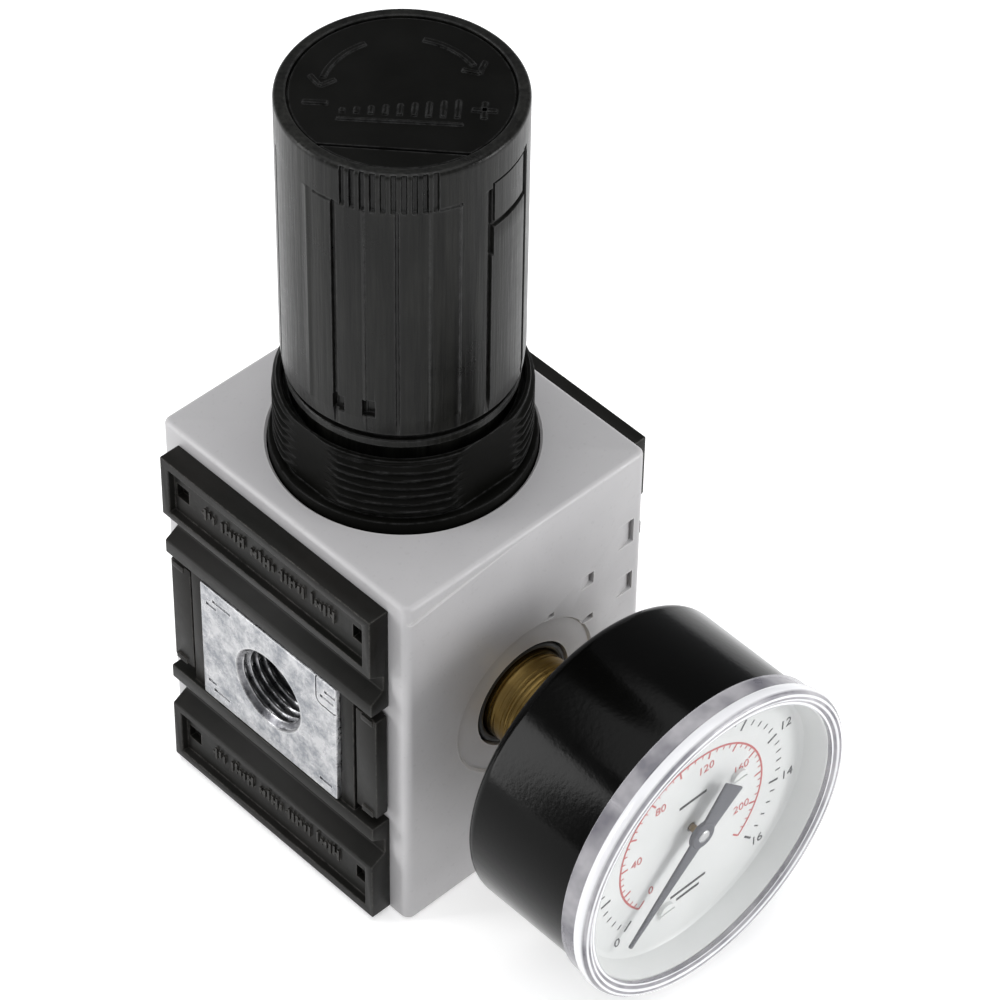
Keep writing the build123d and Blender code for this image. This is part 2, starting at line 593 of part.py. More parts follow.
# ================= valve =================
with BuildPart() as valve_stem:
    with BuildSketch(Plane.XY.offset(poppet_low + 1.0)):
        Circle(stem_r)
    extrude(amount=block_h - relief_flange_t - 0.05 - poppet_low - 1.0)
    chamfer(valve_stem.faces().sort_by(Axis.Z)[-1].edges(), 0.5)
save(valve_stem.part, "valve_stem")

with BuildPart() as valve_disc:
    with BuildSketch(Plane.XY.offset(poppet_top)):
        Circle(poppet_r - 0.3)
        Circle(stem_r + 0.05, mode=Mode.SUBTRACT)
    extrude(amount=disc_t)
save(valve_disc.part, "valve_disc")

with BuildPart() as valve_poppet:
    with BuildSketch(Plane.XY.offset(poppet_low)):
        Circle(poppet_r)
    extrude(amount=poppet_t)
    with BuildSketch(Plane.XY.offset(poppet_low)):
        Circle(poppet_tail_r)
    extrude(amount=-(poppet_low - plug_floor - valve_travel - 0.8))
    with BuildSketch(Plane.XY.offset(poppet_low + 1.0)):
        Circle(stem_r + 0.02)
    extrude(amount=poppet_t, mode=Mode.SUBTRACT)
save(valve_poppet.part, "valve_poppet")

with BuildPart() as bottom_plug:
    with BuildSketch(Plane.XY.offset(plug_foot)):
        Circle(plug_bore_r - 0.1)
    extrude(amount=plug_top - plug_foot)
    with BuildSketch(Plane.XY.offset(plug_top - 4.2)):
        Circle(plug_bore_r - 0.1)
        Circle(plug_bore_r - 0.15 - 2 * o_ring_r, mode=Mode.SUBTRACT)
    extrude(amount=2.4, mode=Mode.SUBTRACT)
    with BuildSketch(Plane.XY.offset(plug_floor)):
        Circle(poppet_tail_r + slide_fit)
    extrude(amount=plug_top - plug_floor, mode=Mode.SUBTRACT)
    with BuildSketch(Plane.XY.offset(plug_foot)):
        Rectangle(slot_len, slot_w)
    extrude(amount=slot_depth, mode=Mode.SUBTRACT)
save(bottom_plug.part, "bottom_plug")

with BuildPart() as bottom_plug_o_ring:
    with BuildSketch(Plane.XZ):
        with Locations((plug_bore_r - 0.1 - o_ring_r, plug_top - 3.0)):
            Circle(o_ring_r)
    revolve(axis=Axis.Z)
save(bottom_plug_o_ring.part, "bottom_plug_o_ring")

# ================= rear gauge port plug =================
rear = Plane(origin=(0, block_d / 2, port_z), x_dir=(1, 0, 0), z_dir=(0, -1, 0))
with BuildPart() as rear_port_plug:
    with BuildSketch(rear):
        Circle(gauge_shank_r)
    extrude(amount=9.0)
    with BuildSketch(rear):
        Circle(seal_r - 1.6)
    extrude(amount=-1.4)
    with BuildSketch(rear.offset(-1.4)):
        Circle(seal_r)
    extrude(amount=-1.0)
    with BuildSketch(rear.offset(-2.4)):
        RegularPolygon(3.0, 6, major_radius=False)
    extrude(amount=4.0, mode=Mode.SUBTRACT)
save(rear_port_plug.part, "rear_port_plug")

with BuildPart() as rear_port_seal:
    with BuildSketch(rear):
        Circle(seal_r)
        Circle(seal_r - 1.5, mode=Mode.SUBTRACT)
    extrude(amount=-1.4)
save(rear_port_seal.part, "rear_port_seal")

# ================= gauge stem, seal and case =================
with BuildPart() as gauge_stem:
    with BuildSketch(gauge_plane(stem_in)):
        Circle(gauge_shank_r)
    extrude(amount=block_d / 2 - stem_in)
    with BuildSketch(gauge_plane(block_d / 2)):
        Circle(stem_neck_r)
    extrude(amount=gauge_back - wrench_len - block_d / 2)
    with BuildSketch(gauge_plane(gauge_back - wrench_len)):
        RectangleRounded(wrench_af, wrench_af, 1.0)
    extrude(amount=wrench_len)
    with BuildSketch(gauge_plane(gauge_back)):
        Circle(stem_collar_r)
    extrude(amount=case_wall)
    with BuildSketch(gauge_plane(gauge_back + case_wall)):
        Circle(socket_flange_r)
    extrude(amount=socket_flange_t - case_wall)
    # block inside the case with an arm down to the root of the Bourdon tube
    with BuildSketch(gauge_plane(gauge_back + socket_flange_t)):
        Rectangle(socket_w, socket_w)
        with Locations((0, -(tube_r + tube_t) / 2)):
            Rectangle(6.0, tube_r + tube_t)
    extrude(amount=socket_len)
    # air way from the port to the tube's root
    with BuildSketch(gauge_plane(stem_in)):
        Circle(gauge_passage_r)
    extrude(amount=gauge_back + socket_flange_t + socket_len / 2 - stem_in, mode=Mode.SUBTRACT)
save(gauge_stem.part, "gauge_stem")

with BuildPart() as gauge_stem_seal:
    with BuildSketch(gauge_plane(block_d / 2)):
        Circle(seal_r)
        Circle(seal_bore_r, mode=Mode.SUBTRACT)
    extrude(amount=seal_t)
save(gauge_stem_seal.part, "gauge_stem_seal")

with BuildPart() as gauge_case:
    with BuildSketch(gauge_plane(gauge_back)):
        Circle(case_r)
    extrude(amount=case_front - gauge_back)
    fillet(gauge_case.faces().sort_by(Axis.Y)[-1].edges(), case_round)
    with BuildSketch(gauge_plane(gauge_back + case_wall)):
        Circle(case_r - case_wall)
    extrude(amount=case_front - gauge_back - case_wall, mode=Mode.SUBTRACT)
    with BuildSketch(gauge_plane(gauge_back)):
        Circle(stem_collar_r + 0.05)
    extrude(amount=case_wall, mode=Mode.SUBTRACT)
save(gauge_case.part, "gauge_case")

with BuildPart() as gauge_window:
    with BuildSketch(gauge_plane(gauge_front - window_skirt)):
        Circle(window_r)
    extrude(amount=window_skirt)
    fillet(gauge_window.faces().sort_by(Axis.Y)[0].edges(), 0.7)
    with BuildSketch(gauge_plane(gauge_front - window_skirt)):
        Circle(case_r + 0.05)
    extrude(amount=window_skirt - window_t, mode=Mode.SUBTRACT)
save(gauge_window.part, "gauge_window")

# ================= gauge movement =================
with BuildPart() as bourdon_tube:
    # flattened tube, curled clockwise from the socket's arm round to a free tip
    start = Plane(origin=(0, -tube_y, port_z), x_dir=(0, -1, 0),
                  z_dir=(-cos(radians(tube_start)), 0, sin(radians(tube_start))))
    with BuildSketch(start):
        with Locations((0, -tube_r)):
            RectangleRounded(tube_w, tube_t, tube_t / 2 - 0.05)
    revolve(axis=Axis((0, -tube_y, port_z), (0, 1, 0)), revolution_arc=tube_sweep)
save(bourdon_tube.part, "bourdon_tube")

link_y = gear_y + gear_t + 0.2
with BuildPart() as tube_tip:
    # soldered tip with a post that reaches forward to the link
    with BuildSketch(gauge_plane(tube_y - tube_w / 2)):
        with Locations((lug_x, lug_z)):
            Rectangle(2.2, 3.0)
    extrude(amount=link_y - 0.3 - tube_y + tube_w / 2)
save(tube_tip.part, "tube_tip")


def movement_plate(distance, thickness, name):
    """One of the two brass plates that carry the sector and the pinion."""
    with BuildPart() as plate:
        with BuildSketch(gauge_plane(distance)):
            with Locations(plate_mid):
                RectangleRounded(plate_w, plate_h, 1.5)
            Circle(arbor_r + slide_fit, mode=Mode.SUBTRACT)
            with Locations((sector_x, sector_z)):
                Circle(pivot_r + slide_fit, mode=Mode.SUBTRACT)
            if name == "movement_rear_plate":
                with Locations(*movement_screw_places):
                    Circle(movement_screw_r + 0.05, mode=Mode.SUBTRACT)
        extrude(amount=thickness)
    save(plate.part, name)
    return plate.part


movement_rear_plate = movement_plate(rear_plate_y, rear_plate_t, "movement_rear_plate")
movement_front_plate = movement_plate(front_plate_y, front_plate_t, "movement_front_plate")

with BuildPart() as movement_pillars:
    with BuildSketch(gauge_plane(rear_plate_y + rear_plate_t)):
        with Locations(*post_places):
            Circle(post_r)
    extrude(amount=plate_gap)
save(movement_pillars.part, "movement_pillars")

with BuildPart() as dial_posts:
    with BuildSketch(gauge_plane(front_plate_y + front_plate_t)):
        with Locations(*post_places):
            Circle(post_r)
    extrude(amount=dial_back - front_plate_y - front_plate_t)
save(dial_posts.part, "dial_posts")

with BuildPart() as movement_screws:
    with BuildSketch(gauge_plane(rear_plate_y)):
        with Locations(*movement_screw_places):
            Circle(movement_screw_r)
    extrude(amount=rear_plate_t)
    with BuildSketch(gauge_plane(rear_plate_y + rear_plate_t)):
        with Locations(*movement_screw_places):
            Circle(movement_screw_r + 0.7)
    extrude(amount=0.8)
save(movement_screws.part, "movement_screws")

with BuildPart() as sector_gear:
    # toothed arc on two arms with a short tail for the link
    with BuildSketch(gauge_plane(gear_y)):
        with Locations((sector_x, sector_z)):
            Circle(pivot_r + 1.3)
        with BuildLine():
            middle = radians((sector_from + sector_to) / 2)
            ends = [radians(sector_from), radians(sector_to)]
            inner = [(sector_x + 1.2 * cos(a), sector_z + 1.2 * sin(a)) for a in ends]
            outer = [(sector_x + sector_tip_r * cos(a), sector_z + sector_tip_r * sin(a))
                     for a in ends]
            crown = (sector_x + sector_tip_r * cos(middle),
                     sector_z + sector_tip_r * sin(middle))
            Line(inner[0], outer[0])
            ThreePointArc(outer[0], crown, outer[1])
            Line(outer[1], inner[1])
            Line(inner[1], inner[0])
        make_face()
        with Locations(((sector_x + tail_x) / 2, (sector_z + tail_z) / 2)):
            Rectangle(tail_len, 1.9, rotation=tail_deg)
        with Locations((tail_x, tail_z)):
            Circle(0.95)
            Circle(link_pin_r + slide_fit, mode=Mode.SUBTRACT)
    extrude(amount=gear_t)
    with BuildSketch(gauge_plane(gear_y)):
        with Locations((sector_x, sector_z)):
            step = 360.0 / sector_teeth
            with PolarLocations((sector_tip_r + sector_root_r) / 2 + 0.2,
                                int((sector_to - sector_from) / step),
                                start_angle=sector_from + step / 2,
                                angular_range=sector_to - sector_from):
                Rectangle(sector_tip_r - sector_root_r + 0.4, 0.6)
    extrude(amount=gear_t, mode=Mode.SUBTRACT)
    with BuildSketch(gauge_plane(rear_plate_y + 0.2)):
        with Locations((sector_x, sector_z)):
            Circle(pivot_r)
    extrude(amount=front_plate_y + front_plate_t - rear_plate_y - 0.4)
save(sector_gear.part, "sector_gear")

with BuildPart() as link:
    with BuildSketch(gauge_plane(link_y)):
        with Locations(((tail_x + lug_x) / 2, (tail_z + lug_z) / 2)):
            SlotCenterToCenter(hypot(lug_x - tail_x, lug_z - tail_z), link_w,
                               rotation=degrees(atan2(lug_z - tail_z, lug_x - tail_x)))
    extrude(amount=link_t)
    with BuildSketch(gauge_plane(link_y)):
        with Locations((tail_x, tail_z)):
            Circle(link_pin_r)
    extrude(amount=-(gear_t + 0.4))
save(link.part, "link")

with BuildPart() as pinion:
    with BuildSketch(gauge_plane(gear_y)):
        Circle(pinion_tip_r)
        with PolarLocations(pinion_tip_r, pinion_teeth):
            Rectangle(2 * (pinion_tip_r - pinion_root_r), 0.55, mode=Mode.SUBTRACT)
    extrude(amount=gear_t)
    with BuildSketch(gauge_plane(rear_plate_y + 0.2)):
        Circle(arbor_r)
    extrude(amount=pointer_back - 0.3 - rear_plate_y - 0.2)
save(pinion.part, "pinion")

# ================= dial, pointer and their screws =================
with BuildPart() as gauge_dial:
    with BuildSketch(gauge_plane(dial_back)):
        Circle(dial_r)
        Circle(dial_bore_r, mode=Mode.SUBTRACT)
    extrude(amount=dial_t)
    with BuildSketch(Plane(origin=(0, 0, port_z), x_dir=(1, 0, 0), z_dir=(0, 0, 1))):
        with BuildLine():
            Polyline((dial_face_r, -dial_front), (dial_r, -dial_front),
                     (dial_r, -dial_rim_front), (dial_wall_r, -dial_rim_front), close=True)
        make_face()
    revolve(axis=Axis((0, 0, port_z), (0, 1, 0)))
save(gauge_dial.part, "gauge_dial")

with BuildPart() as dial_screws:
    with BuildSketch(gauge_plane(dial_front)):
        with Locations(*post_places):
            Circle(post_r)
    extrude(amount=0.6)
    with BuildSketch(gauge_plane(dial_front + 0.6)):
        with Locations(*post_places):
            Rectangle(2 * post_r, 0.35)
    extrude(amount=-0.3, mode=Mode.SUBTRACT)
save(dial_screws.part, "dial_screws")

with BuildPart() as gauge_pointer:
    with BuildSketch(gauge_plane(pointer_back)):
        zero = radians(pointer_zero)
        ahead, across = (cos(zero), sin(zero)), (-sin(zero), cos(zero))
        outline = [(pointer_len, 0.5), (pointer_len, -0.5), (0, -1.3), (-pointer_tail, -2.2),
                   (-pointer_tail, 2.2), (0, 1.3)]
        with BuildLine():
            Polyline(*[(a * ahead[0] + b * across[0], a * ahead[1] + b * across[1])
                       for a, b in outline], close=True)
        make_face()
        Circle(pointer_hub_r)
    extrude(amount=pointer_t)
    with BuildSketch(gauge_plane(pointer_back - 0.3)):
        Circle(1.2)
    extrude(amount=0.9)
save(gauge_pointer.part, "gauge_pointer")
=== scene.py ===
from contextlib import contextmanager
from math import cos, hypot, pi, radians, sin, tau

import bmesh
import bpy
from mathutils import Matrix, Vector

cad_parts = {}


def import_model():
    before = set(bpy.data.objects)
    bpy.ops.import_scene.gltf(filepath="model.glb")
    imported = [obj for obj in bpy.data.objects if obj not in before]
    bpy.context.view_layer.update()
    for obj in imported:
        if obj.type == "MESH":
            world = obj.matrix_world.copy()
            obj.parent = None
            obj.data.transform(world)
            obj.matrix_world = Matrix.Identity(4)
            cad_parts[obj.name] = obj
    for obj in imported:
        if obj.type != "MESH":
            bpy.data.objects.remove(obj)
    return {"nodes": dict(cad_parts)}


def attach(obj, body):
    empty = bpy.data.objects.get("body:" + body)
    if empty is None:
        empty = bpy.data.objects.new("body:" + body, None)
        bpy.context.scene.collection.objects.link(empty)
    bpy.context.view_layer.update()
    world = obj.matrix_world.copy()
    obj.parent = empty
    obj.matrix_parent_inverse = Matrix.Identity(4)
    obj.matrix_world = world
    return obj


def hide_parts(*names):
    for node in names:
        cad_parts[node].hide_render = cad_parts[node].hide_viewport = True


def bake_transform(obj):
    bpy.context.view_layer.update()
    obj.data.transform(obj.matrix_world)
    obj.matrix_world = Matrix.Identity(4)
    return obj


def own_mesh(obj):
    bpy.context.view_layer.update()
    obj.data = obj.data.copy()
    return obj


nodes_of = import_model()["nodes"]
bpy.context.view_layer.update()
scene = bpy.context.scene

# Every piece is built in millimetres in the row frame and scaled to metres at the end.
PORT_Z = 31.35
HOUSING = (45.0, 50.1, 64.7)
PORT_FACE = 25.9
BLOCK = (40.2, 45.3, 46.0)
G14_MINOR, G14_MAJOR, G14_PITCH = 5.7225, 6.58, 1.337
PANEL_PITCH = 1.5
CASE_BACK, CASE_FRONT, DIAL_FACE = 38.2, 60.7, 58.0
KNOB_R, KNOB_TOP = 16.7, 127.2
POINTER_ZERO, POINTER_SWEEP = 225.0, 270.0
NOTCHES = ((17.4, 20.5, 48.1, 52.6), (10.3, 12.9, 45.1, 47.4), (17.4, 20.6, 38.4, 42.0),
           (3.8, 5.3, 43.7, 44.6), (9.7, 13.0, 37.8, 38.9))


# ------------------------ mesh helpers
def plan(u, v, w):
    """Drawn from above, raised along Z."""
    return (u, v, w)


def front(u, v, w):
    """Drawn as seen from the gauge side, centred on the ports; w is the distance from the knob."""
    return (u, -w, v + PORT_Z)


def flank(sign):
    """Drawn on a side wall: u is Y, v is height over the ports, w is the distance from the knob."""
    def place(u, v, w):
        return (sign * w, u, v + PORT_Z)
    return place


def add(name, verts, faces):
    mesh = bpy.data.meshes.new(name)
    mesh.from_pydata(verts, [], faces)
    obj = bpy.data.objects.new(name, mesh)
    scene.collection.objects.link(obj)
    clean(obj)
    return obj


@contextmanager
def editing(obj):
    """The piece's mesh as a bmesh, written back at the end of the block."""
    bm = bmesh.new()
    bm.from_mesh(obj.data)
    yield bm
    bm.to_mesh(obj.data)
    bm.free()


def clean(obj):
    gap = 1e-5
    with editing(obj) as bm:
        bmesh.ops.remove_doubles(bm, verts=bm.verts, dist=gap)
        bmesh.ops.dissolve_degenerate(bm, edges=bm.edges, dist=gap)
        bmesh.ops.recalc_face_normals(bm, faces=bm.faces)


def prism(name, outline, low, high, place=plan):
    """Closed solid over a flat outline."""
    count = len(outline)
    verts = [place(u, v, low) for u, v in outline] + [place(u, v, high) for u, v in outline]
    faces = [tuple(range(count)), tuple(range(count, 2 * count))]
    for i in range(count):
        j = (i + 1) % count
        faces.append((i, j, count + j, count + i))
    return add(name, verts, faces)


def slab(name, low, high):
    """Closed box between two corners."""
    outline = [(low[0], low[1]), (high[0], low[1]), (high[0], high[1]), (low[0], high[1])]
    return prism(name, outline, low[2], high[2])


def skin(name, rings, loop=True):
    """Quads between neighbouring closed rings of equally many points."""
    count = len(rings[0])
    verts = [point for ring in rings for point in ring]
    faces = []
    for i in range(len(rings) if loop else len(rings) - 1):
        low, high = i * count, (i + 1) % len(rings) * count
        for k in range(count):
            m = (k + 1) % count
            faces.append((low + k, low + m, high + m, high + k))
    return add(name, verts, faces)


def close_ends(obj, sides):
    """Fills the two open ends of a skin."""
    with editing(obj) as bm:
        loose = [e for e in bm.edges if e.is_boundary]
        bmesh.ops.holes_fill(bm, edges=loose, sides=sides)
        bmesh.ops.recalc_face_normals(bm, faces=bm.faces)
    return obj


def turned(name, profile, place=plan, steps=144, loop=True):
    """Solid of revolution; profile is (radius, height) points."""
    angles = [tau * k / steps for k in range(steps)]
    return skin(name, [[place(r * cos(a), r * sin(a), h) for a in angles] for r, h in profile],
                loop)


def apply(obj):
    graph = bpy.context.evaluated_depsgraph_get()
    mesh = bpy.data.meshes.new_from_object(obj.evaluated_get(graph))
    spent = obj.data
    obj.modifiers.clear()
    obj.data = mesh
    bpy.data.meshes.remove(spent)


def carve(obj, tools):
    """Takes each tool's volume away from the piece."""
    for tool in tools:
        modifier = obj.modifiers.new("carve", "BOOLEAN")
        modifier.operation = "DIFFERENCE"
        modifier.solver = "EXACT"
        modifier.object = tool
        apply(obj)
        bpy.data.objects.remove(tool)


def soften(obj, width, segments=2):
    """Rounds the edges that are sharper than 30 degrees."""
    modifier = obj.modifiers.new("soften", "BEVEL")
    modifier.width = width
    modifier.segments = segments
    modifier.limit_method = "ANGLE"
    modifier.angle_limit = radians(30.0)
    modifier.use_clamp_overlap = False
    apply(obj)
    return obj


def facet(obj):
    """Splits the large flat faces that the cuts have pierced."""
    gap = 1e-4
    with editing(obj) as bm:
        bmesh.ops.remove_doubles(bm, verts=bm.verts, dist=gap)
        bmesh.ops.triangulate(bm, faces=[f for f in bm.faces if len(f.verts) > 4])
        bmesh.ops.dissolve_degenerate(bm, edges=bm.edges, dist=gap)


def merge(name, parts):
    """Joins closed solids into one piece."""
    bm = bmesh.new()
    for part in parts:
        bm.from_mesh(part.data)
        bpy.data.objects.remove(part)
    mesh = bpy.data.meshes.new(name)
    bm.to_mesh(mesh)
    bm.free()
    obj = bpy.data.objects.new(name, mesh)
    scene.collection.objects.link(obj)
    return obj


def settle(obj, name, body, material, replaced=(), sharp=34.0):
    """Scales a finished piece to metres, shades it and hangs it on its CAD body, if it has one."""
    obj.name = name
    obj.data.name = name
    obj.data.transform(Matrix.Scale(0.001, 4))
    obj.data.shade_smooth()
    obj.data.set_sharp_from_angle(angle=radians(sharp))
    obj.data.materials.clear()
    obj.data.materials.append(material)
    if body:
        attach(obj, body)
    if replaced:
        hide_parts(*replaced)
    return obj


def arc(centre, radius, start, stop, steps):
    """Points on an arc, in degrees."""
    turn = [radians(start + (stop - start) * k / steps) for k in range(steps + 1)]
    return [(centre[0] + radius * cos(a), centre[1] + radius * sin(a)) for a in turn]


def rounded_box(half_u, half_v, radius, steps=6):
    """Outline of a rectangle with round corners, counterclockwise."""
    points = []
    for su, sv, start in ((1, 1, 0), (-1, 1, 90), (-1, -1, 180), (1, -1, 270)):
        points += arc((su * (half_u - radius), sv * (half_v - radius)), radius,
                      start, start + 90, steps)
    return points


def box_outline(low_u, high_u, low_v, high_v):
    return [(low_u, low_v), (high_u, low_v), (high_u, high_v), (low_u, high_v)]


def stroke(name, points, width, low, high, place=plan):
    """Solid line of constant width along a path."""
    left, right = [], []
    for i, (u, v) in enumerate(points):
        before = points[max(i - 1, 0)]
        after = points[min(i + 1, len(points) - 1)]
        du, dv = after[0] - before[0], after[1] - before[1]
        size = hypot(du, dv)
        du, dv = du / size * width / 2, dv / size * width / 2
        left.append((u - dv, v + du))
        right.append((u + dv, v - du))
    return prism(name, left + right[::-1], low, high, place)


def gate(x, low, high, soft):
    """1 between low and high and 0 outside, with smooth flanks of the given width."""
    rise = min(max((x - low) / soft + 0.5, 0.0), 1.0)
    fall = min(max((high - x) / soft + 0.5, 0.0), 1.0)
    return rise * rise * (3 - 2 * rise) * fall * fall * (3 - 2 * fall)


def stations(low, high, step, edges, soft):
    """Sample places between low and high: even steps, and a cluster at each edge."""
    count = max(1, round((high - low) / step))
    places = [low + (high - low) * k / count for k in range(count + 1)]
    for edge in edges:
        places += [edge + soft * k / 2 for k in (-1, -0.5, 0, 0.5, 1)]
    kept = []
    for place in sorted(places):
        if low <= place <= high and (not kept or place - kept[-1] > soft * 0.12):
            kept.append(place)
    return kept


def thread_r(turn, height, major, minor, pitch):
    """Radius of a screw thread with flat crests and roots."""
    phase = (height - turn / tau * pitch) / pitch % 1.0
    share = min(max(abs(2 * phase - 1) * 1.4 - 0.2, 0.0), 1.0)
    return major - (major - minor) * share


# ------------------------ material helpers
class Look:
    """A Principled material and short calls to build its patterns."""

    def __init__(self, name, metallic=0.0, roughness=0.4):
        self.material = bpy.data.materials.new(name)
        self.material.use_nodes = True
        self.tree = self.material.node_tree
        self.shader = self.tree.nodes["Principled BSDF"]
        self.shader.inputs["Metallic"].default_value = metallic
        self.shader.inputs["Roughness"].default_value = roughness
        self.place = self.node("ShaderNodeTexCoord").outputs["Object"]

    def node(self, kind, **settings):
        made = self.tree.nodes.new(kind)
        for key, value in settings.items():
            setattr(made, key, value)
        return made

    def link(self, source, target):
        self.tree.links.new(source, target)

    def stretched(self, scale):
        mapping = self.node("ShaderNodeMapping")
        mapping.inputs["Scale"].default_value = scale
        self.link(self.place, mapping.inputs["Vector"])
        return mapping.outputs["Vector"]

    def noise(self, per_metre, detail=4.0, rough=0.55, vector=None):
        made = self.node("ShaderNodeTexNoise")
        made.inputs["Scale"].default_value = per_metre
        made.inputs["Detail"].default_value = detail
        made.inputs["Roughness"].default_value = rough
        self.link(vector or self.place, made.inputs["Vector"])
        return made.outputs["Fac"]

    def cells(self, per_metre):
        made = self.node("ShaderNodeTexVoronoi")
        made.inputs["Scale"].default_value = per_metre
        self.link(self.place, made.inputs["Vector"])
        return made.outputs["Distance"]

    def span(self, value, low, high, to_low=0.0, to_high=1.0):
        made = self.node("ShaderNodeMapRange")
        made.inputs["From Min"].default_value = low
        made.inputs["From Max"].default_value = high
        made.inputs["To Min"].default_value = to_low
        made.inputs["To Max"].default_value = to_high
        self.link(value, made.inputs["Value"])
        return made.outputs["Result"]

    def sums(self, operation, a, b):
        made = self.node("ShaderNodeMath", operation=operation)
        for socket, value in zip(made.inputs, (a, b)):
            if isinstance(value, (int, float)):
                socket.default_value = value
            else:
                self.link(value, socket)
        return made.outputs[0]

    def blend(self, share, first, second):
        made = self.node("ShaderNodeMix", data_type="RGBA")
        self.link(share, made.inputs[0])
        for socket, value in ((made.inputs[6], first), (made.inputs[7], second)):
            if isinstance(value, tuple):
                socket.default_value = (*value, 1.0)
            else:
                self.link(value, socket)
        return made.outputs[2]

    def worn_edges(self, radius):
        """0 on flats, rising to 1 on edges."""
        bevel = self.node("ShaderNodeBevel", samples=4)
        bevel.inputs["Radius"].default_value = radius
        shape = self.node("ShaderNodeNewGeometry")
        dot = self.node("ShaderNodeVectorMath", operation="DOT_PRODUCT")
        self.link(bevel.outputs["Normal"], dot.inputs[0])
        self.link(shape.outputs["Normal"], dot.inputs[1])
        return self.span(dot.outputs["Value"], 1.0, 0.9)

    def colour(self, socket):
        self.link(socket, self.shader.inputs["Base Color"])

    def rough(self, socket):
        self.link(socket, self.shader.inputs["Roughness"])

    def bump(self, *layers):
        """Each layer is (height, strength, depth in metres)."""
        normal = None
        for height, strength, depth in layers:
            made = self.node("ShaderNodeBump")
            made.inputs["Strength"].default_value = strength
            made.inputs["Distance"].default_value = depth
            self.link(height, made.inputs["Height"])
            if normal:
                self.link(normal, made.inputs["Normal"])
            normal = made.outputs["Normal"]
        self.link(normal, self.shader.inputs["Normal"])


def moulded_plastic(name, dark, light, rough_low, rough_high, grain=2600.0, edge=(0.07,) * 3,
                    edge_share=0.6, streaks=False, shine=0.2):
    """Injection-moulded black plastic: cloudy tone, fine spark grain, polished edges."""
    look = Look(name)
    look.shader.inputs["Specular IOR Level"].default_value = shine
    cloud = look.noise(90.0, 5.0)
    share = look.span(cloud, 0.35, 0.7)
    if streaks:
        narrow = look.noise(160.0, 3.0, 0.6, look.stretched((9.0, 9.0, 0.35)))
        broad = look.noise(75.0, 2.0, 0.5, look.stretched((3.0, 3.0, 0.3)))
        drawn = look.sums("ADD", look.sums("MULTIPLY", narrow, 0.6),
                          look.sums("MULTIPLY", broad, 0.4))
        deepest = tuple(0.35 * c for c in dark)
        palest = tuple(2.2 * c for c in light)
        tone = look.blend(look.span(drawn, 0.36, 0.64), deepest,
                          look.blend(share, light, palest))
    else:
        tone = look.blend(share, dark, light)
    scuff = look.noise(700.0, 3.0, 0.7)
    worn = look.sums("MULTIPLY", look.worn_edges(0.00035), look.span(scuff, 0.3, 0.62))
    look.colour(look.blend(look.sums("MULTIPLY", worn, edge_share), tone, edge))
    fine = look.noise(grain, 2.0, 0.6)
    patches = look.sums("ADD", look.sums("MULTIPLY", cloud, 0.6),
                        look.sums("MULTIPLY", scuff, 0.4))
    look.rough(look.span(patches, 0.3, 0.7, rough_low, rough_high))
    if streaks:
        look.bump((drawn, 0.35, 0.0003), (fine, 0.22, 0.00004))
    else:
        look.bump((cloud, 0.05, 0.0004), (fine, 0.28, 0.00004))
    return look.material


def housing_grey():
    """Light grey moulded nylon with a faint mottle and a satin grain."""
    look = Look("housing_grey_nylon")
    cloud = look.noise(38.0, 4.0)
    tone = look.blend(look.span(cloud, 0.3, 0.7), (0.44, 0.432, 0.44), (0.495, 0.487, 0.492))
    speck = look.span(look.noise(1500.0, 2.0, 0.5), 0.62, 0.72, 0.0, 0.16)
    spotted = look.blend(speck, tone, (0.30, 0.29, 0.29))
    worn = look.sums("MULTIPLY", look.worn_edges(0.0006), 0.55)
    look.colour(look.blend(worn, spotted, (0.66, 0.65, 0.64)))
    fine = look.noise(2200.0, 3.0, 0.6)
    look.rough(look.span(look.noise(260.0, 3.0), 0.3, 0.7, 0.36, 0.5))
    look.bump((cloud, 0.04, 0.0008), (fine, 0.2, 0.00005))
    return look.material


def cast_metal(name, dark, light):
    """Machined zinc casting: slightly pitted, with cloudy patches."""
    look = Look(name, metallic=1.0)
    cloud = look.noise(300.0, 7.0, 0.75)
    pits = look.span(look.cells(1700.0), 0.05, 0.28)
    tone = look.blend(look.span(cloud, 0.4, 0.6), dark, light)
    look.colour(look.blend(look.sums("MULTIPLY", look.worn_edges(0.0004), 0.6), tone,
                           (0.8, 0.8, 0.8)))
    look.rough(look.span(look.noise(900.0, 4.0, 0.6), 0.3, 0.7, 0.2, 0.46))
    look.bump((look.noise(520.0, 5.0, 0.7), 0.6, 0.00016), (pits, 0.2, 0.00005))
    return look.material


def turned_metal(name, dark, light, rough_low, rough_high):
    """Turned metal: soft clouds of tarnish and fine tool marks."""
    look = Look(name, metallic=1.0)
    cloud = look.noise(110.0, 3.0, 0.5)
    look.colour(look.blend(look.span(cloud, 0.35, 0.68), dark, light))
    marks = look.noise(600.0, 2.0, 0.5, look.stretched((1.0, 6.0, 1.0)))
    look.rough(look.span(marks, 0.3, 0.7, rough_low, rough_high))
    look.bump((marks, 0.12, 0.00005), (look.noise(2400.0, 2.0), 0.06, 0.00002))
    return look.material


def rubber():
    """Matt black rubber with a soft bloom."""
    look = Look("nitrile_rubber")
    bloom = look.noise(420.0, 4.0, 0.6)
    look.colour(look.blend(look.span(bloom, 0.35, 0.7), (0.008,) * 3, (0.02,) * 3))
    look.rough(look.span(bloom, 0.3, 0.7, 0.5, 0.72))
    look.bump((look.noise(1800.0, 2.0), 0.2, 0.00005))
    return look.material


